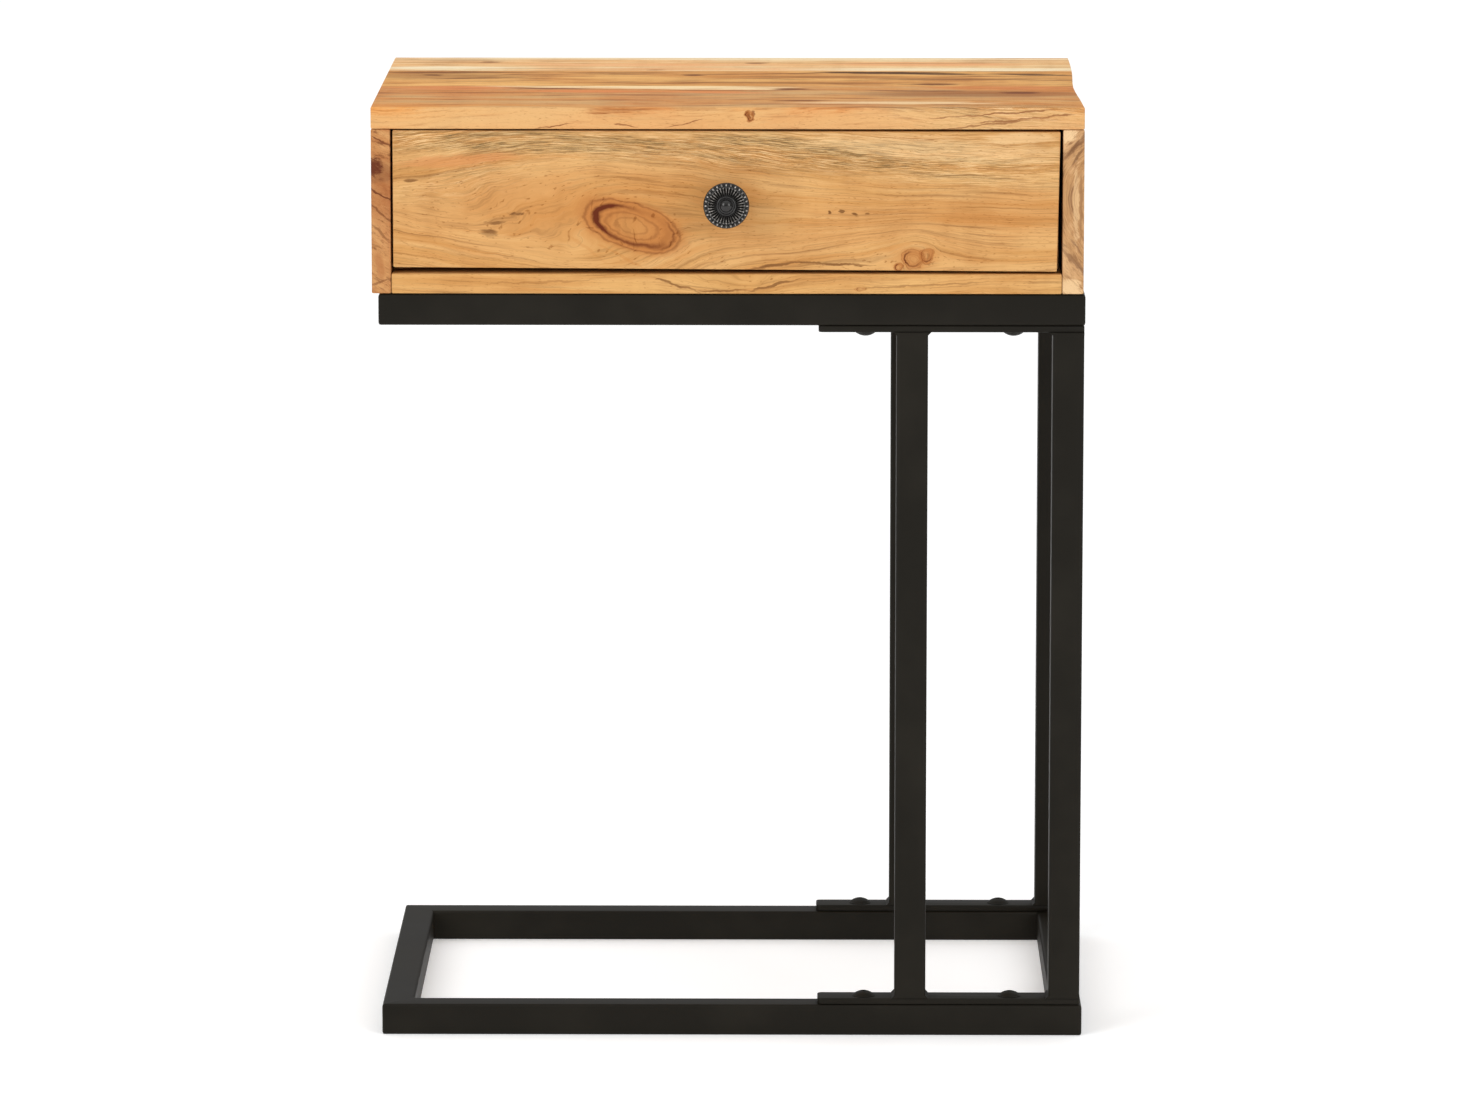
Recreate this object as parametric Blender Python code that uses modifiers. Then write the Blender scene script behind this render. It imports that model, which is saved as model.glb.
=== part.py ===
"""Side table with one drawer: an acacia case on a C-shaped frame of square steel tube.

Metres, +Z up. The drawer faces -Y and the open side of the C faces -X. The origin is on the
floor, in the middle of the whole footprint. Run it with Blender 4.5, or from its text editor.
"""

import math

import bmesh
import bpy
from mathutils import Vector

# Whole table
HEIGHT = 0.600
DEPTH = 0.300
GAP = 0.0003  # between pieces that touch

# Steel frame
BASE_WIDTH = 0.450
TOP_RING_WIDTH = 0.448
TUBE = 0.020
TUBE_WALL = 0.0015
TUBE_RADIUS = 0.002
TUBE_CORNER_STEPS = 3
MIDDLE_POST_X = 0.1145
END_POST_X = 0.2135
CASE_HEIGHT = 0.1187

# Plates that the posts are welded to
PLATE_THICKNESS = 0.004
PLATE_WIDTH = 0.018
PLATE_LEFT_X = 0.055
PLATE_RIGHT_X = 0.2235
PLATE_RADIUS = 0.003

# Bolts that hold the plates to the rings, and the nuts welded inside the tubes
BOLT_X = {"inner": 0.0848, "outer": 0.1788}
BOLT_RADIUS = 0.003
BOLT_HEAD_RADIUS = 0.0075
BOLT_HEAD_HEIGHT = 0.003
BOLT_LENGTH = 0.0125
NUT_ACROSS_FLATS = 0.010
NUT_HEIGHT = 0.005

# Tabs welded inside the top ring, and the wood screws that hold the case to them
TAB_X = 0.150
TAB_WIDTH = 0.024
TAB_LENGTH = 0.018
TAB_THICKNESS = 0.0025
TAB_SCREW_INSET = 0.010
WOOD_SCREW_RADIUS = 0.002
WOOD_SCREW_HEAD_RADIUS = 0.004
WOOD_SCREW_HEAD_HEIGHT = 0.0025
WOOD_SCREW_LENGTH = 0.0125

# Acacia case
CASE_WIDTH = 0.4507
CASE_X = -0.00265  # the case sits a little left of the frame
TOP_THICKNESS = 0.014
BOTTOM_THICKNESS = 0.0127
SIDE_THICKNESS = {"left": 0.0122, "right": 0.0135}
BACK_THICKNESS = 0.008
BOARD_EDGE = 0.0012

# Drawer
DRAWER_TRAVEL_END_GAP = 0.0005  # the closed drawer stops this far from the back panel
FRONT_THICKNESS = 0.015
FRONT_SIDE_GAP = 0.0020
FRONT_TOP_GAP = 0.0011
FRONT_BOTTOM_GAP = 0.0012
BOX_THICKNESS = 0.010
BOX_HEIGHT = 0.072
BOX_EDGE = 0.0008
BOX_BOTTOM_THICKNESS = 0.004
GROOVE_DEPTH = 0.005
GROOVE_LIFT = 0.008  # from the box's lower edge to the underside of its bottom panel

# Knob
KNOB_RADIUS = 0.0145
KNOB_PROJECTION = 0.025
KNOB_STEM_RADIUS = 0.006
KNOB_BASE_RADIUS = 0.0085
KNOB_HOLE_DEPTH = 0.012
WASHER_RADIUS = 0.006
WASHER_THICKNESS = 0.001
KNOB_SCREW_RADIUS = 0.002
KNOB_SCREW_HEAD_RADIUS = 0.004
KNOB_SCREW_HEAD_HEIGHT = 0.0025
KNOB_SCREW_ENTRY = 0.010  # how far the screw reaches into the knob

# How finely round shapes are cut
ROUND_STEPS = 16
KNOB_STEPS = 32
HEAD_ARC_STEPS = 4

# Heights and places that follow from the sizes above
CASE_BOTTOM = HEIGHT - CASE_HEIGHT
TOP_RING_TOP = CASE_BOTTOM - GAP
TOP_RING_BOTTOM = TOP_RING_TOP - TUBE
RAIL_Y = DEPTH / 2 - TUBE / 2
BOTTOM_PLATE_Z = TUBE + GAP + PLATE_THICKNESS / 2
TOP_PLATE_Z = TOP_RING_BOTTOM - GAP - PLATE_THICKNESS / 2
POST_BOTTOM = BOTTOM_PLATE_Z + PLATE_THICKNESS / 2 + GAP
POST_TOP = TOP_PLATE_Z - PLATE_THICKNESS / 2 - GAP
CASE_LEFT = CASE_X - CASE_WIDTH / 2
CASE_RIGHT = CASE_X + CASE_WIDTH / 2
OPENING_LEFT = CASE_LEFT + SIDE_THICKNESS["left"]
OPENING_RIGHT = CASE_RIGHT - SIDE_THICKNESS["right"]
OPENING_BOTTOM = CASE_BOTTOM + BOTTOM_THICKNESS
OPENING_TOP = HEIGHT - TOP_THICKNESS
FRONT_LEFT = OPENING_LEFT + FRONT_SIDE_GAP
FRONT_RIGHT = OPENING_RIGHT - FRONT_SIDE_GAP
FRONT_BOTTOM = OPENING_BOTTOM + FRONT_BOTTOM_GAP
FRONT_TOP = OPENING_TOP - FRONT_TOP_GAP
FRONT_X = (FRONT_LEFT + FRONT_RIGHT) / 2
FRONT_Z = (FRONT_BOTTOM + FRONT_TOP) / 2
CASE_FRONT_Y = -DEPTH / 2
BOX_FRONT_Y = CASE_FRONT_Y + FRONT_THICKNESS
BOX_BACK_Y = DEPTH / 2 - BACK_THICKNESS - DRAWER_TRAVEL_END_GAP

# The origin stands in the middle of the footprint, which the knob and the offset case widen
ORIGIN_X = -(CASE_LEFT + BASE_WIDTH / 2) / 2
ORIGIN_Y = KNOB_PROJECTION / 2


def clear_scene():
    for thing in list(bpy.data.objects):
        bpy.data.objects.remove(thing, do_unlink=True)


def new_collection(name):
    collection = bpy.data.collections.new(name)
    bpy.context.scene.collection.children.link(collection)
    return collection


def new_material(name, colour, roughness, metallic):
    material = bpy.data.materials.new(name)
    material.use_nodes = True
    material.diffuse_color = (*colour, 1.0)
    shader = material.node_tree.nodes["Principled BSDF"]
    shader.inputs["Base Color"].default_value = (*colour, 1.0)
    shader.inputs["Roughness"].default_value = roughness
    shader.inputs["Metallic"].default_value = metallic
    return material


def new_empty(name, collection, parent, location):
    empty = bpy.data.objects.new(name, None)
    collection.objects.link(empty)
    empty.parent = parent
    empty.location = location
    return empty


class Workshop:
    """Keeps the collections, and puts each finished piece in its place."""

    def __init__(self):
        self.parts = new_collection("side_table")
        self.cutters = new_collection("cutters")

    def place(self, name, mesh, material, parent, location, rotation=(0.0, 0.0, 0.0)):
        piece = bpy.data.objects.new(name, mesh)
        self.parts.objects.link(piece)
        if not mesh.materials:
            mesh.materials.append(material)
        piece.parent = parent
        piece.location = location
        piece.rotation_euler = rotation
        return piece

    def cut(self, piece, mesh, location, rotation=(0.0, 0.0, 0.0)):
        """Cuts mesh's shape out of piece. The location is in the piece's parent's frame."""
        cutter = bpy.data.objects.new(f"{piece.name}_cutter", mesh)
        self.cutters.objects.link(cutter)
        cutter.parent = piece.parent
        cutter.location = location
        cutter.rotation_euler = rotation
        cutter.hide_render = True
        cutter.display_type = "WIRE"
        boolean = piece.modifiers.new("cut", "BOOLEAN")
        boolean.operation = "DIFFERENCE"
        boolean.solver = "EXACT"
        boolean.object = cutter


def box_mesh(name, size):
    shape = bmesh.new()
    bmesh.ops.create_cube(shape, size=1.0)
    bmesh.ops.scale(shape, vec=size, verts=shape.verts)
    mesh = bpy.data.meshes.new(name)
    shape.to_mesh(mesh)
    shape.free()
    return mesh


def cylinder_mesh(name, radius, length):
    shape = bmesh.new()
    bmesh.ops.create_cone(
        shape,
        cap_ends=True,
        segments=ROUND_STEPS,
        radius1=radius,
        radius2=radius,
        depth=length,
    )
    mesh = bpy.data.meshes.new(name)
    shape.to_mesh(mesh)
    shape.free()
    return mesh


def arc(centre, radius, start, end, steps):
    """Points on an arc, both ends included. The angles are in degrees."""
    angles = [math.radians(start + (end - start) * i / steps) for i in range(steps + 1)]
    return [(centre[0] + radius * math.cos(a), centre[1] + radius * math.sin(a)) for a in angles]


def rounded_rectangle(width, height, radius, steps, rounded=(True, True, True, True)):
    """Outline points, anticlockwise from the right-hand top corner."""
    signs = ((1, 1), (-1, 1), (-1, -1), (1, -1))
    points = []
    for corner, (sign, is_round) in enumerate(zip(signs, rounded)):
        if is_round:
            centre = (sign[0] * (width / 2 - radius), sign[1] * (height / 2 - radius))
            points += arc(centre, radius, corner * 90, corner * 90 + 90, steps)
        else:
            points.append((sign[0] * width / 2, sign[1] * height / 2))
    return points


def polygon(radius, sides):
    """A regular outline whose corners are at this radius."""
    return arc((0.0, 0.0), radius, 0, 360 - 360 / sides, sides - 1)


def flat_mesh(name, outlines, thickness):
    """A flat outline, with any inner outlines as holes, given a thickness along Z."""
    curve = bpy.data.curves.new(name, "CURVE")
    curve.dimensions = "2D"
    curve.fill_mode = "BOTH"
    curve.extrude = thickness / 2
    for outline in outlines:
        spline = curve.splines.new("POLY")
        spline.points.add(len(outline) - 1)
        for point, (x, y) in zip(spline.points, outline):
            point.co = (x, y, 0.0, 1.0)
        spline.use_cyclic_u = True
    drawn = bpy.data.objects.new(name, curve)
    bpy.context.scene.collection.objects.link(drawn)
    evaluated = drawn.evaluated_get(bpy.context.evaluated_depsgraph_get())
    mesh = bpy.data.meshes.new_from_object(evaluated)
    bpy.data.objects.remove(drawn)
    shape = bmesh.new()
    shape.from_mesh(mesh)
    bmesh.ops.remove_doubles(shape, verts=shape.verts, dist=GAP / 10)
    shape.to_mesh(mesh)
    shape.free()
    return mesh


def profile_mesh(name, profile):
    """An open profile of (radius, height) points, for a Screw modifier to turn about Z."""
    points = [(radius, 0.0, height) for radius, height in profile]
    mesh = bpy.data.meshes.new(name)
    mesh.from_pydata(points, [(i, i + 1) for i in range(len(points) - 1)], [])
    return mesh


def turn(piece, steps):
    screw = piece.modifiers.new("turn", "SCREW")
    screw.steps = steps
    screw.render_steps = steps
    screw.use_merge_vertices = True
    screw.merge_threshold = GAP / 10
    screw.use_smooth_shade = True
    return piece


def soften(piece, radius, segments=2):
    bevel = piece.modifiers.new("soft_edges", "BEVEL")
    bevel.width = radius
    bevel.segments = segments
    return piece


def tube_mesh(name, length, is_mitred):
    """A hollow square tube along X. Mitred ends are longest on the tube's +Y side."""
    outer = rounded_rectangle(TUBE, TUBE, TUBE_RADIUS, TUBE_CORNER_STEPS)
    bore = TUBE - 2 * TUBE_WALL
    inner = rounded_rectangle(bore, bore, TUBE_RADIUS - TUBE_WALL, 1)
    mesh = flat_mesh(name, [outer, inner], length)
    for vertex in mesh.vertices:
        across, up, along = vertex.co
        shortening = (TUBE / 2 - across) if is_mitred else 0.0
        end = math.copysign(length / 2 - shortening, along)
        vertex.co = (end, across, up)
    return mesh


class SteelFrame:
    """Two rings of mitred tube, four posts, and the plates, bolts and tabs that join them."""

    def __init__(self, shop, parent):
        self.shop = shop
        self.parent = parent
        self.powder_coat = new_material("black_powder_coat", (0.018, 0.017, 0.015), 0.42, 0.0)
        self.zinc = new_material("zinc_plate", (0.55, 0.55, 0.53), 0.35, 1.0)
        self.bolt_meshes = {}

    def ring(self, name, width, bottom):
        """Four mitred rails. Each corner keeps a saw cut's gap between its two rails."""
        height = bottom + TUBE / 2
        gap = GAP * math.sqrt(2)
        long_mesh = tube_mesh(f"{name}_long_rail", width - gap, is_mitred=True)
        short_mesh = tube_mesh(f"{name}_short_rail", DEPTH - gap, is_mitred=True)
        side_x = width / 2 - TUBE / 2
        places = {
            "front": (long_mesh, (0.0, -RAIL_Y, height), math.pi),
            "back": (long_mesh, (0.0, RAIL_Y, height), 0.0),
            "left": (short_mesh, (-side_x, 0.0, height), math.pi / 2),
            "right": (short_mesh, (side_x, 0.0, height), -math.pi / 2),
        }
        rails = {}
        for side, (mesh, location, turned) in places.items():
            rails[side] = self.shop.place(
                f"{name}_{side}_rail",
                mesh,
                self.powder_coat,
                self.parent,
                location,
                (0.0, 0.0, turned),
            )
        return rails

    def posts(self):
        length = POST_TOP - POST_BOTTOM
        mesh = tube_mesh("post", length, is_mitred=False)
        for row, y in (("front", -RAIL_Y), ("back", RAIL_Y)):
            for place, x in (("middle", MIDDLE_POST_X), ("end", END_POST_X)):
                self.shop.place(
                    f"{row}_{place}_post",
                    mesh,
                    self.powder_coat,
                    self.parent,
                    (x, y, (POST_TOP + POST_BOTTOM) / 2),
                    (0.0, math.pi / 2, 0.0),
                )

    def plate(self, name, y, z):
        """A flat bar with its free end's corners rounded and two bolt holes."""
        length = PLATE_RIGHT_X - PLATE_LEFT_X
        middle = (PLATE_RIGHT_X + PLATE_LEFT_X) / 2
        bar = rounded_rectangle(
            length, PLATE_WIDTH, PLATE_RADIUS, TUBE_CORNER_STEPS, (False, True, True, False)
        )
        holes = []
        for bolt_x in BOLT_X.values():
            rim = polygon(BOLT_RADIUS + GAP, ROUND_STEPS)
            holes.append([(x + bolt_x - middle, across) for x, across in rim])
        mesh = flat_mesh(name, [bar, *holes], PLATE_THICKNESS)
        self.shop.place(name, mesh, self.powder_coat, self.parent, (middle, y, z))

    def bolted_joint(self, row, level, rail, y, sign):
        """A plate on a rail, with its bolts, their nuts and the rail's holes.

        sign is 1 where the bolt heads point up, as on the base, and -1 under the top ring.
        """
        plate_z = BOTTOM_PLATE_Z if sign > 0 else TOP_PLATE_Z
        rail_face = plate_z - sign * (PLATE_THICKNESS / 2 + GAP)
        seat = plate_z + sign * (PLATE_THICKNESS / 2 + GAP)
        nut_z = rail_face - sign * (TUBE_WALL + GAP + NUT_HEIGHT / 2)
        flip = (0.0, 0.0, 0.0) if sign > 0 else (math.pi, 0.0, 0.0)
        self.plate(f"{row}_{level}_plate", y, plate_z)
        for place, x in BOLT_X.items():
            suffix = f"{row}_{level}_{place}"
            bolt = self.shop.place(
                f"bolt_{suffix}", self.bolt_mesh, self.powder_coat, self.parent, (x, y, seat), flip
            )
            turn(bolt, ROUND_STEPS)
            self.shop.place(f"nut_{suffix}", self.nut_mesh, self.zinc, self.parent, (x, y, nut_z))
            self.shop.cut(rail, self.drill_mesh, (x, y, rail_face))

    def tab(self, row, side, x, sign):
        """A tab on a long rail's inner side, and the wood screw that goes up through it.

        sign is -1 on the front rail and 1 on the back one.
        """
        rail_inside = sign * (DEPTH / 2 - TUBE - GAP)
        y = rail_inside - sign * TAB_LENGTH / 2
        screw_y = rail_inside - sign * TAB_SCREW_INSET
        z = TOP_RING_TOP - TAB_THICKNESS / 2
        outline = rounded_rectangle(TAB_WIDTH, TAB_LENGTH, PLATE_RADIUS, TUBE_CORNER_STEPS)
        rim = polygon(WOOD_SCREW_RADIUS + GAP, ROUND_STEPS)
        hole = [(px, py + screw_y - y) for px, py in rim]
        mesh = flat_mesh(f"tab_{row}_{side}", [outline, hole], TAB_THICKNESS)
        self.shop.place(f"tab_{row}_{side}", mesh, self.powder_coat, self.parent, (x, y, z))
        seat = TOP_RING_TOP - TAB_THICKNESS - GAP
        screw = self.shop.place(
            f"tab_screw_{row}_{side}",
            self.wood_screw_mesh,
            self.zinc,
            self.parent,
            (x, screw_y, seat),
            (math.pi, 0.0, 0.0),
        )
        turn(screw, ROUND_STEPS)
        return (x, screw_y)

    def build(self):
        """Returns the places of the wood screws, which the case's bottom board is bored for."""
        self.bolt_mesh = profile_mesh(
            "bolt", dome_head_profile(BOLT_HEAD_RADIUS, BOLT_HEAD_HEIGHT, BOLT_RADIUS, BOLT_LENGTH)
        )
        self.wood_screw_mesh = profile_mesh(
            "tab_screw",
            dome_head_profile(
                WOOD_SCREW_HEAD_RADIUS,
                WOOD_SCREW_HEAD_HEIGHT,
                WOOD_SCREW_RADIUS,
                WOOD_SCREW_LENGTH,
            ),
        )
        self.nut_mesh = flat_mesh(
            "nut",
            [
                polygon(NUT_ACROSS_FLATS / math.sqrt(3), 6),
                polygon(BOLT_RADIUS + GAP, ROUND_STEPS),
            ],
            NUT_HEIGHT,
        )
        self.drill_mesh = cylinder_mesh("drill", BOLT_RADIUS + GAP, 3 * TUBE_WALL)
        self.posts()
        base = self.ring("base", BASE_WIDTH, 0.0)
        top = self.ring("top", TOP_RING_WIDTH, TOP_RING_BOTTOM)
        for row, y in (("front", -RAIL_Y), ("back", RAIL_Y)):
            self.bolted_joint(row, "bottom", base[row], y, 1)
            self.bolted_joint(row, "top", top[row], y, -1)
        screws = []
        for row, sign in (("front", -1), ("back", 1)):
            for side, x in (("left", -TAB_X), ("right", TAB_X)):
                screws.append(self.tab(row, side, x, sign))
        return screws


def dome_head_profile(head_radius, head_height, shank_radius, shank_length):
    """A dome head standing on z = 0, with a plain shank below it."""
    sphere = (head_radius**2 + head_height**2) / (2 * head_height)
    half_angle = math.degrees(math.asin(head_radius / sphere))
    centre = (0.0, head_height - sphere)
    dome = arc(centre, sphere, 90, 90 - half_angle, HEAD_ARC_STEPS)
    dome[0] = (0.0, head_height)
    return [*dome, (shank_radius, 0.0), (shank_radius, -shank_length), (0.0, -shank_length)]


def lerp_board(low, high):
    """The size and the centre of a board that fills the space between two corners."""
    low = Vector(low)
    high = Vector(high)
    return high - low, (high + low) / 2


class Case:
    """The wooden box: the top covers both sides, and the bottom sits between them."""

    def __init__(self, shop, parent):
        self.shop = shop
        self.parent = parent
        self.acacia = new_material("acacia", (0.60, 0.34, 0.14), 0.45, 0.0)

    def board(self, name, low, high):
        size, centre = lerp_board(low, high)
        mesh = box_mesh(name, size)
        piece = self.shop.place(name, mesh, self.acacia, self.parent, centre)
        return soften(piece, BOARD_EDGE)

    def build(self, screw_places):
        front, back = -DEPTH / 2, DEPTH / 2
        inner_left = OPENING_LEFT + GAP
        inner_right = OPENING_RIGHT - GAP
        under_top = OPENING_TOP - GAP
        self.board("top_board", (CASE_LEFT, front, OPENING_TOP), (CASE_RIGHT, back, HEIGHT))
        self.board(
            "left_side_panel", (CASE_LEFT, front, CASE_BOTTOM), (OPENING_LEFT, back, under_top)
        )
        self.board(
            "right_side_panel", (OPENING_RIGHT, front, CASE_BOTTOM), (CASE_RIGHT, back, under_top)
        )
        bottom = self.board(
            "bottom_board", (inner_left, front, CASE_BOTTOM), (inner_right, back, OPENING_BOTTOM)
        )
        self.board(
            "back_panel",
            (inner_left, back - BACK_THICKNESS, OPENING_BOTTOM + GAP),
            (inner_right, back, under_top),
        )
        reach = WOOD_SCREW_LENGTH - TAB_THICKNESS
        pilot = cylinder_mesh("pilot", WOOD_SCREW_RADIUS + GAP, 2 * reach)
        for x, y in screw_places:
            self.shop.cut(bottom, pilot, (x, y, CASE_BOTTOM))


class Drawer:
    """A box behind an inset front, with its bottom in grooves, and the knob on its screw."""

    def __init__(self, shop, parent, acacia):
        self.shop = shop
        self.parent = parent
        self.acacia = acacia
        self.ply = new_material("drawer_ply", (0.62, 0.44, 0.26), 0.6, 0.0)
        self.iron = new_material("cast_iron", (0.03, 0.032, 0.036), 0.45, 0.6)
        self.zinc = new_material("zinc_screw", (0.55, 0.55, 0.53), 0.35, 1.0)

    def board(self, name, low, high, edge, material):
        size, centre = lerp_board(low, high)
        mesh = box_mesh(name, size)
        piece = self.shop.place(name, mesh, material, self.parent, centre)
        return soften(piece, edge)

    def box(self):
        """Sides, back and bottom. Returns the groove's cutter place and shape."""
        low, high = FRONT_BOTTOM, FRONT_BOTTOM + BOX_HEIGHT
        front, back = BOX_FRONT_Y + GAP, BOX_BACK_Y
        inner_left = FRONT_LEFT + BOX_THICKNESS
        inner_right = FRONT_RIGHT - BOX_THICKNESS
        inner_back = back - BOX_THICKNESS
        walls = [
            self.board(
                "drawer_left_side", (FRONT_LEFT, front, low), (inner_left, back, high),
                BOX_EDGE, self.acacia,
            ),
            self.board(
                "drawer_right_side", (inner_right, front, low), (FRONT_RIGHT, back, high),
                BOX_EDGE, self.acacia,
            ),
            self.board(
                "drawer_back",
                (inner_left + GAP, inner_back, low), (inner_right - GAP, back, high),
                BOX_EDGE, self.acacia,
            ),
        ]
        groove_low = low + GROOVE_LIFT
        groove_high = groove_low + BOX_BOTTOM_THICKNESS
        reach = Vector((GROOVE_DEPTH, GROOVE_DEPTH, 0.0))
        slack = Vector((GAP, GAP, GAP))
        panel_low = Vector((inner_left, BOX_FRONT_Y, groove_low)) - reach
        panel_high = Vector((inner_right, inner_back, groove_high)) + reach
        size, centre = lerp_board(panel_low, panel_high)
        panel = box_mesh("drawer_bottom", size)
        self.shop.place("drawer_bottom", panel, self.ply, self.parent, centre)
        size, centre = lerp_board(panel_low - slack, panel_high + slack)
        return walls, box_mesh("groove", size), centre

    def front(self):
        piece = self.board(
            "drawer_front",
            (FRONT_LEFT, CASE_FRONT_Y, FRONT_BOTTOM), (FRONT_RIGHT, BOX_FRONT_Y, FRONT_TOP),
            BOARD_EDGE, self.acacia,
        )
        bore = cylinder_mesh("knob_bore", KNOB_SCREW_RADIUS + GAP, 2 * FRONT_THICKNESS)
        across = (math.pi / 2, 0.0, 0.0)
        self.shop.cut(piece, bore, (FRONT_X, CASE_FRONT_Y, FRONT_Z), across)
        return piece

    def knob(self):
        """A turned knob, screwed on from inside the drawer."""
        facing = (math.pi / 2, 0.0, 0.0)
        rim_back = KNOB_PROJECTION - 0.3 * KNOB_PROJECTION
        rim_front = KNOB_PROJECTION - 0.14 * KNOB_PROJECTION
        bore_radius = KNOB_SCREW_RADIUS + GAP
        profile = [
            (0.0, KNOB_PROJECTION),
            (0.20 * KNOB_RADIUS, KNOB_PROJECTION - 0.01 * KNOB_PROJECTION),
            (0.30 * KNOB_RADIUS, rim_front),
            (0.90 * KNOB_RADIUS, rim_front),
            (KNOB_RADIUS, rim_front - 0.04 * KNOB_PROJECTION),
            (KNOB_RADIUS, rim_back),
            (0.80 * KNOB_RADIUS, rim_back - 0.08 * KNOB_PROJECTION),
            (KNOB_STEM_RADIUS, 0.46 * KNOB_PROJECTION),
            (KNOB_STEM_RADIUS, 0.20 * KNOB_PROJECTION),
            (KNOB_BASE_RADIUS, 0.08 * KNOB_PROJECTION),
            (KNOB_BASE_RADIUS, GAP),
            (bore_radius, GAP),
            (bore_radius, KNOB_HOLE_DEPTH),
            (0.0, KNOB_HOLE_DEPTH),
        ]
        place = (FRONT_X, CASE_FRONT_Y, FRONT_Z)
        mesh = profile_mesh("drawer_knob", profile)
        turn(self.shop.place("drawer_knob", mesh, self.iron, self.parent, place, facing), KNOB_STEPS)
        washer_y = BOX_FRONT_Y + GAP + WASHER_THICKNESS / 2
        rings = [polygon(WASHER_RADIUS, ROUND_STEPS), polygon(bore_radius, ROUND_STEPS)]
        washer = flat_mesh("knob_washer", rings, WASHER_THICKNESS)
        self.shop.place(
            "knob_washer", washer, self.zinc, self.parent, (FRONT_X, washer_y, FRONT_Z), facing
        )
        head_y = BOX_FRONT_Y + 2 * GAP + WASHER_THICKNESS
        length = head_y - CASE_FRONT_Y + KNOB_SCREW_ENTRY
        shape = dome_head_profile(
            KNOB_SCREW_HEAD_RADIUS, KNOB_SCREW_HEAD_HEIGHT, KNOB_SCREW_RADIUS, length
        )
        screw = self.shop.place(
            "knob_screw",
            profile_mesh("knob_screw", shape),
            self.zinc,
            self.parent,
            (FRONT_X, head_y, FRONT_Z),
            (-math.pi / 2, 0.0, 0.0),
        )
        turn(screw, ROUND_STEPS)

    def build(self):
        walls, groove, centre = self.box()
        for wall in [*walls, self.front()]:
            self.shop.cut(wall, groove, centre)
        self.knob()


def main():
    clear_scene()
    shop = Workshop()
    table = new_empty("table", shop.parts, None, (ORIGIN_X, ORIGIN_Y, 0.0))
    drawer_slide = new_empty("drawer_slide", shop.parts, table, (0.0, 0.0, 0.0))
    screw_places = SteelFrame(shop, table).build()
    case = Case(shop, table)
    case.build(screw_places)
    Drawer(shop, drawer_slide, case.acacia).build()
    bpy.context.view_layer.update()


main()
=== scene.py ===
"""Side table with one drawer: the finished looks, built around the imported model.

Lengths are in metres, +Z is up and the drawer faces -Y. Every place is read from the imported
model's nodes. Each sub-assembly is a class that shapes its pieces and dresses them in a finish.
"""

from __future__ import annotations

import logging
import math
from collections.abc import Callable, Iterator, Sequence
from contextlib import contextmanager
from dataclasses import dataclass, field
from enum import Enum
from typing import NamedTuple

import bmesh
import bpy
from mathutils import Matrix, Vector


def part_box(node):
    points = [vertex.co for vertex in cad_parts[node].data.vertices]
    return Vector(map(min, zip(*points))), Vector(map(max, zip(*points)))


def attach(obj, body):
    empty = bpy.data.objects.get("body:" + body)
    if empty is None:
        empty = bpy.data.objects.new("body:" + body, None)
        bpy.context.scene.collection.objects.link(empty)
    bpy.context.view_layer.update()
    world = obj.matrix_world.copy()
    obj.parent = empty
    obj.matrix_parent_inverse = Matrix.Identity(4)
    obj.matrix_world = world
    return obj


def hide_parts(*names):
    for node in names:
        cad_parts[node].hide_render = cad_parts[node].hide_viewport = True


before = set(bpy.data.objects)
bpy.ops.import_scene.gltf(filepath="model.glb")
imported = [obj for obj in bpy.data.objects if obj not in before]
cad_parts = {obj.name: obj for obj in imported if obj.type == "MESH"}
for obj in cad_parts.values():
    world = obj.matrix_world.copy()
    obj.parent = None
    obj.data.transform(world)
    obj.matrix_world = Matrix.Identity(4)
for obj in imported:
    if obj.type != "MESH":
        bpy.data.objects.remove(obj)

TABLE_BODY = "table"
DRAWER_BODY = "drawer"
MM = 0.001
STRAIGHT = 0.999  # the share of an edge's length that lies along an axis, for it to run along it

Colour = tuple[float, float, float]
Point = tuple[float, float, float]
Spot = tuple[float, float]

log = logging.getLogger("side_table")


class Axis(Enum):
    """A direction of the table, by its place in a point."""

    X = 0
    Y = 1
    Z = 2


class Slot(Enum):
    """The record's material slots, passed with the new pieces but not set on them."""

    ACACIA = "acacia"
    POWDER_COAT = "powder_coat"
    IRON = "knob_iron"


# ---------------------------------------------------------------------------------------------
# Shaping
# ---------------------------------------------------------------------------------------------


def deselect_all() -> None:
    """Deselects every object, so that the next operator acts on its own piece alone."""
    bpy.ops.object.select_all(action="DESELECT")


def hold(piece: bpy.types.Object) -> None:
    """Makes a piece the selected and active one.

    Args:
        piece: The piece that the next operator acts on.
    """
    deselect_all()
    piece.select_set(True)
    bpy.context.view_layer.objects.active = piece


@contextmanager
def editing(piece: bpy.types.Object) -> Iterator[None]:
    """Opens a piece in edit mode with nothing selected, and closes it again.

    Args:
        piece: The piece.

    Yields:
        Nothing. The piece is open while the block runs.
    """
    hold(piece)
    bpy.ops.object.mode_set(mode="EDIT")
    bpy.ops.mesh.select_all(action="DESELECT")
    yield
    bpy.ops.object.mode_set(mode="OBJECT")


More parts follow.
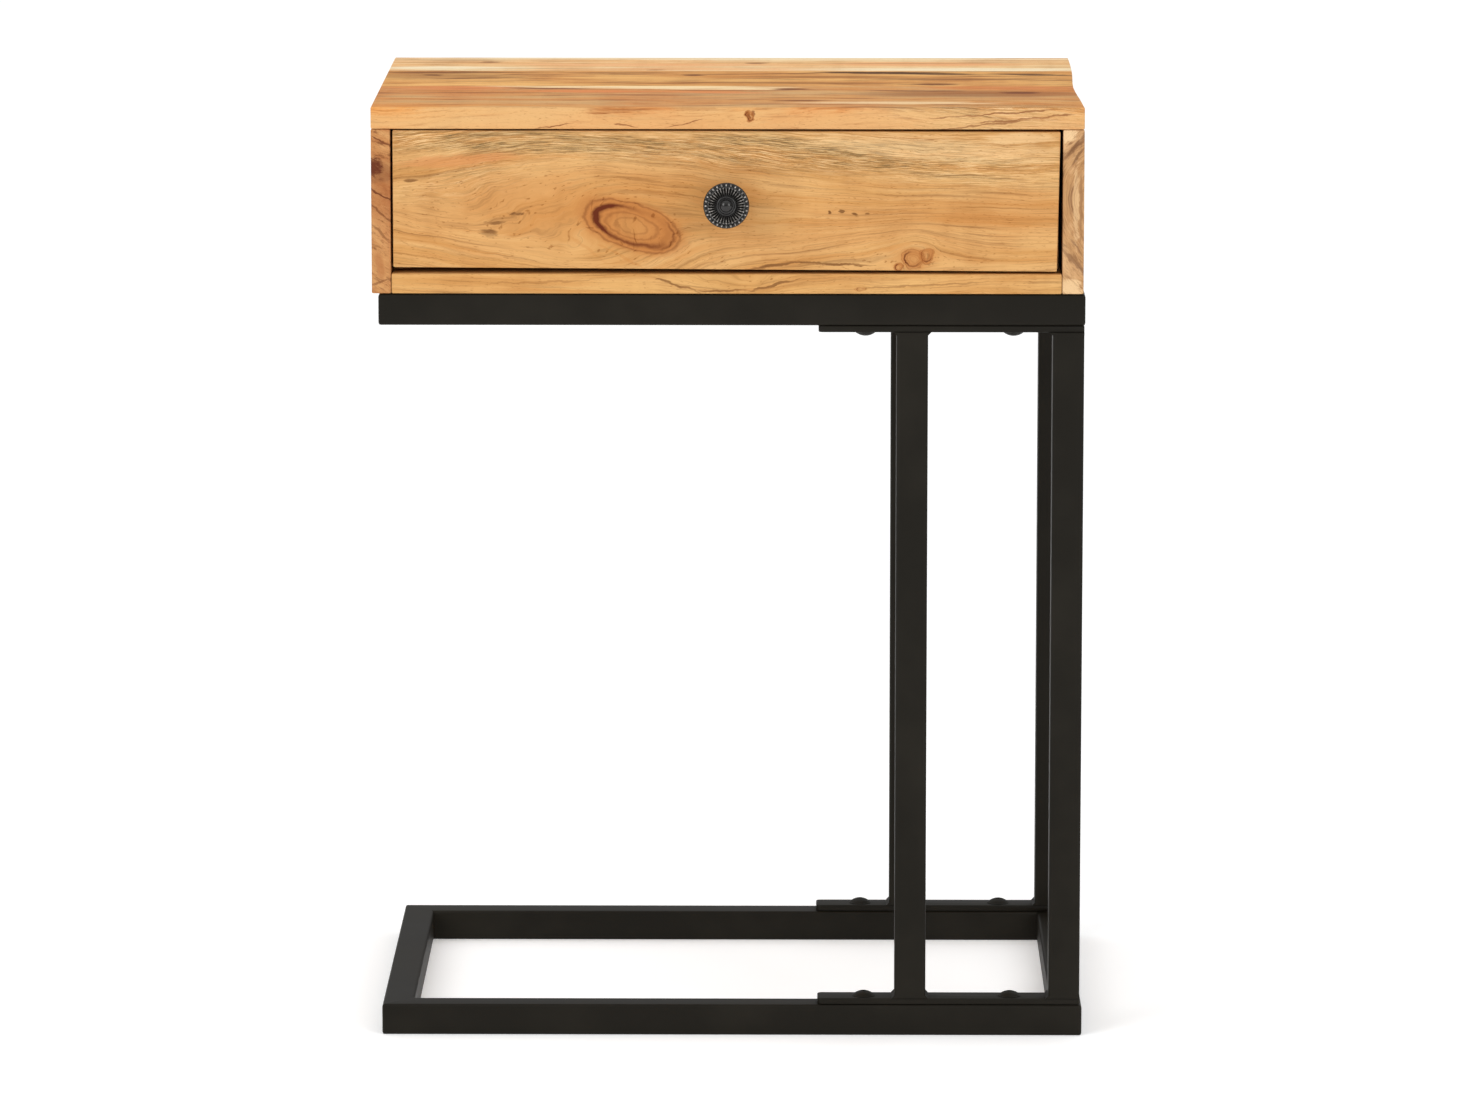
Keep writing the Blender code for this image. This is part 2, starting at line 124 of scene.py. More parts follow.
def pick(piece: bpy.types.Object, kind: str, test: Callable[..., bool]) -> None:
    """Selects the parts of an open mesh that pass a test, and nothing else.

    Args:
        piece: The piece, in edit mode.
        kind: VERT, EDGE or FACE.
        test: Is given each vertex, edge or face.
    """
    bpy.ops.mesh.select_mode(type=kind)
    bpy.ops.mesh.select_all(action="DESELECT")
    shape = bmesh.from_edit_mesh(piece.data)
    parts = {"VERT": shape.verts, "EDGE": shape.edges, "FACE": shape.faces}[kind]
    for part in parts:
        if test(part):
            part.select_set(True)
    shape.select_flush_mode()
    bmesh.update_edit_mesh(piece.data)


def runs_along(edge: bmesh.types.BMEdge, axis: Axis) -> bool:
    """Tells whether an edge lies along an axis."""
    way = edge.verts[1].co - edge.verts[0].co
    return abs(way[axis.value]) > STRAIGHT * way.length


def turns(edge: bmesh.types.BMEdge, degrees: float) -> bool:
    """Tells whether the faces on an edge turn by more than this angle."""
    return edge.calc_face_angle(0.0) > math.radians(degrees)


def round_off(radius: float, segments: int) -> None:
    """Rounds the selected edges of the open piece."""
    bpy.ops.mesh.bevel(offset=radius, segments=segments, affect="EDGES")


def shift(x: float = 0.0, y: float = 0.0, z: float = 0.0) -> None:
    """Moves what is selected of the open piece."""
    bpy.ops.transform.translate(value=(x, y, z))


def corners(node: str) -> tuple[Vector, Vector]:
    """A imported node's lowest and highest corners."""
    low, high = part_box(node)
    return Vector(low), Vector(high)


def middle(node: str) -> Point:
    """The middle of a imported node."""
    low, high = corners(node)
    return tuple((low + high) / 2)


def block(name: str, low: Sequence[float], high: Sequence[float]) -> bpy.types.Object:
    """Adds a block between two corners, as the start of a piece.

    Args:
        name: The piece's name.
        low: The lowest corner.
        high: The highest corner.

    Returns:
        The block, with its place in its mesh.
    """
    low, high = Vector(low), Vector(high)
    deselect_all()
    bpy.ops.mesh.primitive_cube_add(size=1.0, location=(low + high) / 2)
    piece = bpy.context.active_object
    piece.name = piece.data.name = name
    piece.scale = high - low
    bpy.ops.object.transform_apply(location=True, rotation=True, scale=True)
    return piece


def smooth(piece: bpy.types.Object, degrees: float = 35.0) -> bpy.types.Object:
    """Shades a piece smooth across its rounded edges, and crisp across its sharp ones.

    Args:
        piece: The piece.
        degrees: The turn past which an edge is sharp.

    Returns:
        The piece.
    """
    hold(piece)
    bpy.ops.object.shade_smooth_by_angle(angle=math.radians(degrees))
    return piece


def copy_of(piece: bpy.types.Object, name: str, place: Matrix) -> bpy.types.Object:
    """Copies a piece, with a mesh of its own, and puts the copy in its place.

    Args:
        piece: The piece to copy.
        name: The copy's name.
        place: Where the copy's mesh goes from the piece's.

    Returns:
        The copy.
    """
    copy = piece.copy()
    copy.data = piece.data.copy()
    copy.name = copy.data.name = name
    bpy.context.scene.collection.objects.link(copy)
    copy.data.transform(place)
    return copy


def turned(name: str, profile: Sequence[Spot], steps: int) -> bpy.types.Object:
    """Draws a round shape upwards from a disc, ring by ring.

    Args:
        name: The piece's name.
        profile: (radius, height) points from the bottom up. A last radius of 0 is a point.
        steps: How many sides the round has.

    Returns:
        The closed shape, standing on the origin's axis.
    """
    deselect_all()
    radius, height = profile[0]
    bpy.ops.mesh.primitive_circle_add(
        vertices=steps, radius=radius, fill_type="NGON", location=(0.0, 0.0, height)
    )
    piece = bpy.context.active_object
    piece.name = piece.data.name = name
    bpy.ops.object.transform_apply(location=True, rotation=True, scale=True)
    with editing(piece):
        bpy.ops.mesh.select_all(action="SELECT")
        for next_radius, next_height in profile[1:]:
            rise = next_height - height
            bpy.ops.mesh.extrude_region_move(TRANSFORM_OT_translate={"value": (0.0, 0.0, rise)})
            if next_radius > 0.0:
                ratio = next_radius / radius
                bpy.ops.transform.resize(value=(ratio, ratio, 1.0))
            else:
                bpy.ops.mesh.merge(type="CENTER")
            radius, height = next_radius, next_height
        bpy.ops.mesh.select_all(action="SELECT")
        bpy.ops.mesh.normals_make_consistent(inside=False)
    return piece


def arc(radius: float, centre: Spot, start: float, end: float, steps: int) -> list[Spot]:
    """Draws an arc of an outline.

    Args:
        radius: The arc's radius.
        centre: Its centre.
        start: The angle that it starts at, in degrees.
        end: The angle that it ends at, in degrees.
        steps: How many stretches it has.

    Returns:
        Its (radius, height) points, both ends included.
    """
    points = []
    for i in range(steps + 1):
        angle = math.radians(start + (end - start) * i / steps)
        points.append((centre[0] + radius * math.cos(angle), centre[1] + radius * math.sin(angle)))
    return points


def cut_with(piece: bpy.types.Object, cutter: bpy.types.Object) -> None:
    """Cuts one shape out of another, and removes the cutter.

    Args:
        piece: The piece that is cut.
        cutter: The shape that is taken out of it.
    """
    hold(piece)
    cut = piece.modifiers.new("cut", "BOOLEAN")
    cut.object = cutter
    cut.operation = "DIFFERENCE"
    cut.solver = "EXACT"
    bpy.ops.object.modifier_apply(modifier=cut.name)
    bpy.data.objects.remove(cutter)


def join(pieces: Sequence[bpy.types.Object]) -> bpy.types.Object:
    """Joins pieces into one.

    Args:
        pieces: The pieces. The first keeps its name.

    Returns:
        The first piece, with the rest in it.
    """
    deselect_all()
    for piece in pieces:
        piece.select_set(True)
    bpy.context.view_layer.objects.active = pieces[0]
    bpy.ops.object.join()
    return pieces[0]


def hand_over(
    piece: bpy.types.Object,
    body: str,
    slot: Slot,
    material: bpy.types.Material,
    *nodes: str,
) -> bpy.types.Object:
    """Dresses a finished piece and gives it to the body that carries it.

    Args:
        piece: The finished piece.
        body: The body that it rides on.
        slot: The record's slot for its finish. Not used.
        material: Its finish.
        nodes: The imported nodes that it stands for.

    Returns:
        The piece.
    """
    if not piece.data.materials:
        piece.data.materials.append(material)
    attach(piece, body)
    if nodes:
        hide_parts(*nodes)
    log.info("%s: %d faces on %s", piece.name, len(piece.data.polygons), body)
    return piece


def dress_node(name: str, material: bpy.types.Material) -> None:
    """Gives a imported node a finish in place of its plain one.

    Args:
        name: The node.
        material: The finish.
    """
    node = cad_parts[name]
    for slot in node.material_slots:
        slot.material = material
    log.info("%s: keeps its packed shape", name)


# ---------------------------------------------------------------------------------------------
# Shader maths
# ---------------------------------------------------------------------------------------------


class Field:
    """A value over the surface. Python's arithmetic on it adds Math nodes."""

    def __init__(self, graph: Graph, socket: bpy.types.NodeSocket) -> None:
        """Wraps a socket of a graph."""
        self.graph = graph
        self.socket = socket

    def __add__(self, other: Operand) -> Field:
        """This plus other."""
        return self.graph.math("ADD", self, other)

    def __radd__(self, other: Operand) -> Field:
        """Other plus this."""
        return self.graph.math("ADD", other, self)

    def __sub__(self, other: Operand) -> Field:
        """This less other."""
        return self.graph.math("SUBTRACT", self, other)

    def __rsub__(self, other: Operand) -> Field:
        """Other less this."""
        return self.graph.math("SUBTRACT", other, self)

    def __mul__(self, other: Operand) -> Field:
        """This times other."""
        return self.graph.math("MULTIPLY", self, other)

    def __rmul__(self, other: Operand) -> Field:
        """Other times this."""
        return self.graph.math("MULTIPLY", other, self)

    def __truediv__(self, other: Operand) -> Field:
        """This over other."""
        return self.graph.math("DIVIDE", self, other)

    def __neg__(self) -> Field:
        """This with its sign turned."""
        return self.graph.math("MULTIPLY", self, -1.0)


Operand = Field | float

OBJECT_PLACE = 3  # the output of a Texture Coordinate node
NOISE_COLOUR = 1  # the output of a Noise node that has three noises
MIXED_COLOUR = 2  # the output of a Mix node for colours
MIX_SHARE, MIX_FIRST, MIX_SECOND = 0, 6, 7  # and its inputs
NOISE_MIDDLE = 0.5


class Rise(NamedTuple):
    """The two values that something sets in between, and how strong it gets."""

    low: float
    high: float
    strength: float = 1.0


class Stroke(NamedTuple):
    """A soft line: the value that it lies at, its width to each side, and its strength."""

    middle: float
    width: float
    strength: float = 1.0


class Graph:
    """A shader graph, written as expressions."""

    def __init__(self, tree: bpy.types.NodeTree) -> None:
        """Opens a node tree."""
        self.tree = tree

    def node(
        self, kind: str, settings: dict | None = None, inputs: dict | None = None, output: int = 0
    ) -> Field:
        """Adds a node.

        Args:
            kind: The node's type.
            settings: Its own settings.
            inputs: Values or fields for its sockets, by name or number.
            output: The number of the socket to return.

        Returns:
            The output as a field.
        """
        made = self.tree.nodes.new(kind)
        for key, value in (settings or {}).items():
            setattr(made, key, value)
        for key, value in (inputs or {}).items():
            self.feed(made.inputs[key], value)
        return Field(self, made.outputs[output])

    def feed(self, socket: bpy.types.NodeSocket, value: Operand | Colour) -> None:
        """Links a field to a socket, or sets the socket to a plain value.

        Args:
            socket: The socket to feed.
            value: The field, number or colour.
        """
        if isinstance(value, Field):
            self.tree.links.new(value.socket, socket)
        elif socket.type == "RGBA":
            socket.default_value = (*value, 1.0)
        else:
            socket.default_value = value

    def math(self, operation: str, *values: Operand) -> Field:
        """Adds a Math node."""
        return self.node("ShaderNodeMath", {"operation": operation}, dict(enumerate(values)))

    def rise(self, value: Operand, rise: Rise) -> Field:
        """Rises smoothly from 0, where the value is low, to the rise's strength."""
        inputs = {"Value": value, "From Min": rise.low, "From Max": rise.high, "To Max": rise.strength}
        return self.node("ShaderNodeMapRange", {"interpolation_type": "SMOOTHSTEP"}, inputs)

    def fall(self, value: Operand, rise: Rise) -> Field:
        """Falls smoothly from the rise's strength, where the value is low, to 0."""
        return rise.strength - self.rise(value, rise)

    def stroke(self, value: Field, stroke: Stroke) -> Field:
        """Draws a soft line where the value is near the stroke's middle."""
        off = self.math("ABSOLUTE", value - stroke.middle)
        return self.fall(off, Rise(0.0, stroke.width, stroke.strength))

    def distance(self, first: Field, second: Field) -> Field:
        """The distance from 0 of a place with these two coordinates."""
        return self.math("SQRT", first * first + second * second)

    def mix(self, share: Operand, first: Field | Colour, second: Field | Colour) -> Field:
        """Mixes two colours, with this share of the second."""
        inputs = {MIX_SHARE: share, MIX_FIRST: first, MIX_SECOND: second}
        return self.node("ShaderNodeMix", {"data_type": "RGBA"}, inputs, MIXED_COLOUR)

    def shade(self, share: Operand, colour: Field | Colour, by: Field | Colour) -> Field:
        """Multiplies a colour by another, in this share.

        Args:
            share: How much of the product to take.
            colour: The colour.
            by: The colour that multiplies it.

        Returns:
            The shaded colour.
        """
        settings = {"data_type": "RGBA", "blend_type": "MULTIPLY"}
        inputs = {MIX_SHARE: share, MIX_FIRST: colour, MIX_SECOND: by}
        return self.node("ShaderNodeMix", settings, inputs, MIXED_COLOUR)

    def split(self, vector: Field) -> list[Field]:
        """A vector's three values."""
        node = self.node("ShaderNodeSeparateXYZ", inputs={0: vector}).socket.node
        return [Field(self, socket) for socket in node.outputs]

    def place(self) -> list[Field]:
        """The surface's X, Y and Z, in millimetres."""
        places = self.split(self.node("ShaderNodeTexCoord", output=OBJECT_PLACE))
        return [place / MM for place in places]

    def point(self, *values: Operand) -> Field:
        """Puts three values together as a point."""
        return self.node("ShaderNodeCombineXYZ", inputs=dict(enumerate(values)))

    def noise(
        self,
        vector: Field,
        scale: float = 1.0,
        detail: float = 2.0,
        roughness: float = 0.5,
        output: int = 0,
    ) -> Field:
        """Smooth noise from 0 to 1, about its middle."""
        inputs = {"Vector": vector, "Scale": scale, "Detail": detail, "Roughness": roughness}
        return self.node("ShaderNodeTexNoise", {"noise_dimensions": "3D"}, inputs, output)

    def bump(self, height: Operand, strength: float, distance: float) -> Field:
        """A normal from a height, which is in units of the distance."""
        inputs = {"Height": height, "Strength": strength, "Distance": distance}
        return self.node("ShaderNodeBump", inputs=inputs)


class Coating(Graph):
    """The shader graph of one material, around a Principled shader."""

    def __init__(self, name: str) -> None:
        """Starts a material.

        Args:
            name: The material's name.
        """
        self.material = bpy.data.materials.new(name)
        self.material.use_nodes = True
        super().__init__(self.material.node_tree)
        self.shader = self.tree.nodes["Principled BSDF"]

    def surface(self, **inputs: Operand | Colour) -> bpy.types.Material:
        """Feeds the Principled shader.

        Args:
            inputs: Values or fields, by socket name with underscores for spaces.

        Returns:
            The finished material.
        """
        for key, value in inputs.items():
            self.feed(self.shader.inputs[key.replace("_", " ")], value)
        return self.material


# ---------------------------------------------------------------------------------------------
# Finishes
# ---------------------------------------------------------------------------------------------


class Face(Enum):
    """The face of a board that a patch is drawn on, by the two ways that it lies in."""

    FLAT = ("along", "across")
    EDGE = ("along", "through")
    END = ("through", "across")


@dataclass(frozen=True)
class Patch:
    """A patch of a board, as an ellipse.

    Its place and radii are in millimetres from the board's middle, in its face's two ways.
    Its tilt is in degrees.
    """

    along: float
    across: float
    length: float
    width: float
    tilt: float = 0.0
    strength: float = 1.0
    face: Face = Face.FLAT


@dataclass(frozen=True)
class Knot(Patch):
    """A knot. The grain flows round it, and rings it inside.

    Attributes:
        ringed: How far its rings close up, as a share of its width.
        glow: Where its red heartwood fades out, in radii, as every place below.
        red: How red it is.
        heart: Its paler middle.
        rim: Its dark inner rim.
        rim_least: The strength of the rim all round.
        rim_most: What its darker side adds to that.
        crescent: The rise of the rim towards one end.
        belly: The rise of the rim towards one side.
        outline: The line round it.
        inner_rings: The two fine rings inside it.
        tip: The dark tip at its far end.
        far_end: Where that end begins.
    """

    ringed: float = 0.8
    glow: Rise = Rise(0.95, 1.35)
    red: float = 0.75
    heart: Rise = Rise(0.15, 0.75, 0.50)
    rim: Stroke = Stroke(0.80, 0.17)
    rim_least: float = 0.12
    rim_most: float = 1.1
    crescent: Rise = Rise(-0.2, 0.75)
    belly: Rise = Rise(0.0, 0.75, 0.62)
    outline: Stroke = Stroke(1.07, 0.07, 0.42)
    inner_rings: tuple[Stroke, ...] = (Stroke(0.56, 0.07, 0.30), Stroke(0.34, 0.06, 0.24))
    tip: Stroke = Stroke(0.94, 0.07, 0.55)
    far_end: Rise = Rise(0.45, 0.85)


class Tone(Enum):
    """One of a board's colours, by its name in Tones."""

    CREAM = "cream"
    PALE = "pale"
    WARM = "warm"
    RED = "red"
    DARK = "dark"
    VEIN = "vein"


@dataclass(frozen=True)
class Mark(Patch):
    """A patch in another of the board's colours, with streaky ends.

    Attributes:
        tone: Its colour.
        edge: Where it fades out, in radii squared.
        by_streaks: How far the streaks fray its edge.
        by_strands: How far the finer strands do.
    """

    tone: Tone = Tone.DARK
    edge: Rise = Rise(0.20, 1.25, 0.9)
    by_streaks: float = 2.2
    by_strands: float = 2.6


@dataclass(frozen=True)
class Tones:
    """The colours of one board."""

    cream: Colour = (0.84, 0.580, 0.300)
    pale: Colour = (0.69, 0.400, 0.156)
    body: Colour = (0.60, 0.310, 0.100)
    warm: Colour = (0.54, 0.228, 0.060)
    red: Colour = (0.63, 0.240, 0.085)
    dark: Colour = (0.20, 0.084, 0.026)
    mineral: Colour = (0.34, 0.235, 0.095)
    vein: Colour = (0.15, 0.095, 0.040)
    knot: Colour = (0.46, 0.165, 0.040)
    knot_line: Colour = (0.12, 0.022, 0.006)


class Place(NamedTuple):
    """Where the surface is on a board, in millimetres along, across and through it."""

    along: Field
    across: Field
    through: Field


class Weave(NamedTuple):
    """A noise in the timber: how fine it is each way, a millimetre, and its detail."""

    along: float
    across: float
    through: float
    detail: float = 2.0
    roughness: float = 0.5


@dataclass(frozen=True)
class Figure:
    """The figure of acacia: the noises it is woven from, and where in them each tint sets in.

    A reach is how far, in millimetres or rings, a noise moves what it bends.
    """

    wobble: Weave = Weave(0.09, 0.13, 0.13, 3.0, 0.6)
    wobble_reach: Point = (8.0, 4.5, 4.0)
    drift: Weave = Weave(0.0055, 0.015, 0.02, 1.5)
    drift_reach: float = 4.0
    ripple: Weave = Weave(0.035, 0.06, 0.05)
    ripple_reach: float = 3.0
    swirl_fade: float = 0.5  # how fast a swirl dies away
    seed_stretch: float = 7.3  # how far a unit of seed moves the colours
    bands: Weave = Weave(0.0045, 0.10, 0.03, 3.0, 0.6)
    streaks: Weave = Weave(0.010, 0.42, 0.12, 4.0, 0.66)
    strands: Weave = Weave(0.022, 1.5, 0.4, 3.0, 0.65)
    glow: Weave = Weave(0.011, 0.035, 0.03)
    cross_figure_sheen: Weave = Weave(0.055, 0.03, 0.03)  # soft bars across the grain: the wood's cross figure, with its chatoyant sheen painted in as fixed darker bars
    crowding: Weave = Weave(0.007, 0.03, 0.0)  # how the rings' spacing varies
    crowding_reach: float = 2.2
    rings_a_millimetre: float = 0.135
    late_growth: Rise = Rise(0.45, 0.93)
    ring_end: Rise = Rise(0.93, 1.0)
    growth_bands: Rise = Rise(0.35, 0.55, 0.32)
    body_bands: Rise = Rise(0.40, 0.60)
    warm_glow: Rise = Rise(0.44, 0.64)
    dark_streaks: Rise = Rise(0.52, 0.68)
    pale_streaks: Rise = Rise(0.33, 0.45, 0.60)
    dark_strands: Rise = Rise(0.52, 0.66, 0.30)
    pale_strands: Rise = Rise(0.35, 0.46, 0.35)
    cross_figure_sheen_shade: Rise = Rise(0.40, 0.68, 0.30)
    cross_figure_sheen_tint: Colour = (0.74, 0.66, 0.58)


@dataclass(frozen=True)
class MineralFigure:
    """Mineral streaks: clouds of olive, thin dark veins, and pale lines between them."""

    cloud: Weave = Weave(0.014, 0.17, 0.05, 4.0, 0.65)
    veins: Weave = Weave(0.055, 1.75, 0.20, 5.0, 0.75)
    clouded: Rise = Rise(0.38, 0.62)
    wash: float = 0.38
    pale_lines: Rise = Rise(0.41, 0.49, 0.80)
    dark_lines: Rise = Rise(0.50, 0.575)
    vein_least: float = 0.40
    vein_in_clouds: float = 0.52


@dataclass(frozen=True)
class Lacquer:
    """The thin matt lacquer, and the fibre and pores that show in it."""

    seed_stretch: float = 1.7  # how far a unit of seed moves the fibre
    fibre: Weave = Weave(0.12, 3.0, 2.0, 3.0, 0.7)
    pores: Weave = Weave(0.30, 2.4, 2.4, 1.0, 0.4)
    open_pores: Rise = Rise(0.64, 0.76)
    roughness: float = 0.58
    fibre_roughness: float = 0.12
    pore_roughness: float = 0.10
    specular: float = 0.10
    fibre_shade: float = 0.30
    pore_shade: float = 0.60
    shade: Colour = (0.50, 0.38, 0.28)
    fibre_height: float = 0.6
    streak_depth: float = 0.5
    bump_strength: float = 0.25
    bump_height: float = 0.12 * MM


@dataclass(frozen=True)
class Acacia:
    """Lacquered acacia with streaks, knots and pores that follow its grain.

    Attributes:
        name: The finish's name.
        centre: The board's middle.
        along: The way the grain runs.
        across: The way the board's width runs.
        seed: Picks a different piece of timber.
        tones: Its colours.
        streaks: How strong the dark streaks are.
        warmth: How much orange heartwood there is.
        wander: How far the grain wanders off straight, in millimetres.
        lean: How much the growth rings lean through the board.
        pith: Where the middle of the rings is, across and through the board, if it is near.
        coarse: How wide the streaks are, against ordinary ones.
        knots: Its knots.
        swirls: Where its grain parts without a knot, as far as the strength says.
        marks: Its marks of other colours.
        minerals: Its patches of mineral streaks.
        figure: Its common figure.
        mineral_figure: The figure of its mineral streaks.
        lacquer: Its lacquer.
    """

    name: str
    centre: Point
    along: Axis
    across: Axis
    seed: float
    tones: Tones = Tones()
    streaks: float = 0.5
    warmth: float = 0.4
    wander: float = 9.0
    lean: float = 0.45
    pith: tuple[float, float] | None = None
    coarse: float = 1.0
    knots: tuple[Knot, ...] = ()
    swirls: tuple[Patch, ...] = ()
    marks: tuple[Mark, ...] = ()
    minerals: tuple[Patch, ...] = ()
    figure: Figure = Figure()
    mineral_figure: MineralFigure = MineralFigure()
    lacquer: Lacquer = Lacquer()

    def build(self) -> bpy.types.Material:
        """Builds the finish as a material.

        Returns:
            The material.
        """
        g = Coating(self.name)
        lacquer = self.lacquer
        place = self._place(g)
        rough_place = self._rough_place(g, place)
        flow = self._grain(g, place, rough_place)
        grain = place._replace(across=flow)
        colour, streaks, strands = self._timber(g, grain)
        colour = self._minerals(g, colour, grain, rough_place)
        colour = self._marks(g, colour, rough_place, streaks, strands)
        colour = self._knots(g, colour, rough_place)
        fibre, pores = self._texture(g, grain)
        shade = lacquer.fibre_shade * fibre + lacquer.pore_shade * pores
        height = lacquer.fibre_height * (1 - fibre) - pores - lacquer.streak_depth * streaks
        roughness = lacquer.roughness + lacquer.fibre_roughness * fibre + lacquer.pore_roughness * pores
        return g.surface(
            Base_Color=g.shade(shade, colour, lacquer.shade),
            Roughness=roughness,
            Specular_IOR_Level=lacquer.specular,
            Normal=g.bump(height, lacquer.bump_strength, lacquer.bump_height),
        )

    def _woven(self, g: Graph, weave: Weave, place: Place, seed: float, output: int = 0) -> Field:
        """Adds one of the timber's noises.

        Args:
            g: The finish's graph.
            weave: The noise.
            place: The place on the board.
            seed: Moves the noise through the board.
            output: The noise node's output.

        Returns:
            The noise.
        """
        along, across = place.along * weave.along, place.across * weave.across
        point = g.point(along, across, place.through * weave.through + seed)
        return g.noise(point, 1.0, weave.detail, weave.roughness, output)

    def _place(self, g: Graph) -> Place:
        """Finds the place on the board.

        Args:
            g: The finish's graph.

        Returns:
            The place, from the board's middle.
        """
        places = [p - c / MM for p, c in zip(g.place(), self.centre)]
        rest = sum(axis.value for axis in Axis) - self.along.value - self.across.value
        return Place(places[self.along.value], places[self.across.value], places[rest])

    def _rough_place(self, g: Graph, place: Place) -> Place:
        """Adds a little wobble to the place, so that knots and marks have uneven outlines.

        Args:
            g: The finish's graph.
            place: The place on the board.

        Returns:
            The uneven place.
        """
        wobble = g.split(self._woven(g, self.figure.wobble, place, self.seed, NOISE_COLOUR))
        shifts = [reach * (w - NOISE_MIDDLE) for w, reach in zip(wobble, self.figure.wobble_reach)]
        return Place(*(p + s for p, s in zip(place, shifts)))

    def _ellipse(self, g: Graph, patch: Patch, place: Place) -> tuple[Field, Field, Field]:
        """Finds how far along and across a patch the place is.

        Args:
            g: The finish's graph. Not used.
            patch: The patch.
            place: The place on the board.

        Returns:
            The two distances, in the patch's radii, and the whole distance squared.
        """
        turn, lean = math.cos(math.radians(patch.tilt)), math.sin(math.radians(patch.tilt))
        first, second = (getattr(place, way) for way in patch.face.value)
        x, y = first - patch.along, second - patch.across
        u = (x * turn + y * lean) / patch.length
        v = (y * turn - x * lean) / patch.width
        return u, v, u * u + v * v

    def _grain(self, g: Graph, place: Place, rough_place: Place) -> Field:
        """Finds the distance across the growth rings: they wander, part round knots and ring them.

        Args:
            g: The finish's graph.
            place: The place on the board.
            rough_place: The uneven place.

        Returns:
            The distance, in millimetres.
        """
        figure = self.figure
        bent = place._replace(along=rough_place.along)
        for knot in self.knots:
            if knot.face is Face.FLAT:
                _, v, square = self._ellipse(g, knot, bent)
                outside = v / g.math("MAXIMUM", square, 1.0)
                inside = g.math("MINIMUM", g.math("SQRT", square) - 1, 0.0) * knot.ringed
                bent = bent._replace(across=bent.across + knot.width * (inside - outside))
        for swirl in self.swirls:
            _, v, square = self._ellipse(g, swirl, bent)
            push = v * g.math("EXPONENT", -figure.swirl_fade * square) * (swirl.width * swirl.strength)
            bent = bent._replace(across=bent.across - push)
        drift = self._woven(g, figure.drift, place, self.seed) - NOISE_MIDDLE
        ripple = self._woven(g, figure.ripple, place, -self.seed) - NOISE_MIDDLE
        wander = figure.drift_reach * self.wander * drift + figure.ripple_reach * ripple
        if self.pith is None:
            return bent.across + self.lean * bent.through + wander
        pith_across, pith_through = self.pith
        return g.distance(bent.across - pith_across, bent.through - pith_through) + wander

    def _timber(self, g: Graph, grain: Place) -> tuple[Field, Field, Field]:
        """Mixes the board's colour before its marks and knots.

        Args:
            g: The finish's graph.
            grain: The place on the board, with the growth rings' distance across it.

        Returns:
            The colour, and the two noises of its streaks.
        """
        t, f = self.tones, self.figure
        seed = self.seed * f.seed_stretch
        grain = grain._replace(across=grain.across / self.coarse)
        bands = self._woven(g, f.bands, grain, seed)
        streaks = self._woven(g, f.streaks, grain, -seed)
        strands = self._woven(g, f.strands, grain, seed)
        glow = self._woven(g, f.glow, grain, -seed)
        cross_figure_sheen = self._woven(g, f.cross_figure_sheen, grain, seed)
        crowding = self._woven(g, f.crowding, grain, seed)
        rings = g.math("FRACT", grain.across * f.rings_a_millimetre + f.crowding_reach * crowding)
        growth = g.rise(rings, f.late_growth) * g.fall(rings, f.ring_end)
        colour = g.mix(g.rise(bands, f.body_bands), t.pale, t.body)
        colour = g.mix(self.warmth * g.rise(glow, f.warm_glow), colour, t.warm)
        colour = g.mix(growth * g.rise(bands, f.growth_bands), colour, t.warm)
        colour = g.mix(self.streaks * g.rise(streaks, f.dark_streaks), colour, t.dark)
        colour = g.mix(g.fall(streaks, f.pale_streaks), colour, t.pale)
        colour = g.mix(g.rise(strands, f.dark_strands), colour, t.dark)
        colour = g.mix(g.fall(strands, f.pale_strands), colour, t.pale)
        # The cross figure's chatoyant sheen is painted in here as fixed darker bars across the grain.
        return g.shade(g.rise(cross_figure_sheen, f.cross_figure_sheen_shade), colour, f.cross_figure_sheen_tint), streaks, strands

    def _minerals(self, g: Graph, colour: Field, grain: Place, rough_place: Place) -> Field:
        """Adds mineral streaks: an olive wash with thin dark veins and pale lines in it.

        Args:
            g: The finish's graph.
            colour: The colour so far.
            grain: The place on the board, with the growth rings' distance across it.
            rough_place: The uneven place.

        Returns:
            The colour with its mineral streaks.
        """
        if not self.minerals:
            return colour
        f = self.mineral_figure
        mask: Operand = 0.0
        for patch in self.minerals:
            _, _, square = self._ellipse(g, patch, rough_place)
            mask = mask + patch.strength * g.math("EXPONENT", -square)
        mask = g.math("MINIMUM", mask, 1.0)
        cloud = g.rise(self._woven(g, f.cloud, grain, self.seed), f.clouded)
        veins = self._woven(g, f.veins, grain, -self.seed)
        colour = g.mix(mask * g.fall(veins, f.pale_lines), colour, self.tones.cream)
        colour = g.mix(mask * cloud * f.wash, colour, self.tones.mineral)
        strength = f.vein_least + f.vein_in_clouds * cloud
        return g.mix(mask * g.rise(veins, f.dark_lines) * strength, colour, self.tones.vein)

    def _marks(
        self, g: Graph, colour: Field, rough_place: Place, streaks: Field, strands: Field
    ) -> Field:
        """Adds the marks, whose edges fray along the streaks.

        Args:
            g: The finish's graph.
            colour: The colour so far.
            rough_place: The uneven place.
            streaks: The noise of the streaks.
            strands: The noise of the finer strands.

        Returns:
            The colour with its marks.
        """
        streaks, strands = streaks - NOISE_MIDDLE, strands - NOISE_MIDDLE
        for mark in self.marks:
            _, _, square = self._ellipse(g, mark, rough_place)
            frayed = square + mark.by_streaks * streaks + mark.by_strands * strands
            tone = getattr(self.tones, mark.tone.value)
            colour = g.mix(mark.strength * g.fall(frayed, mark.edge), colour, tone)
        return colour

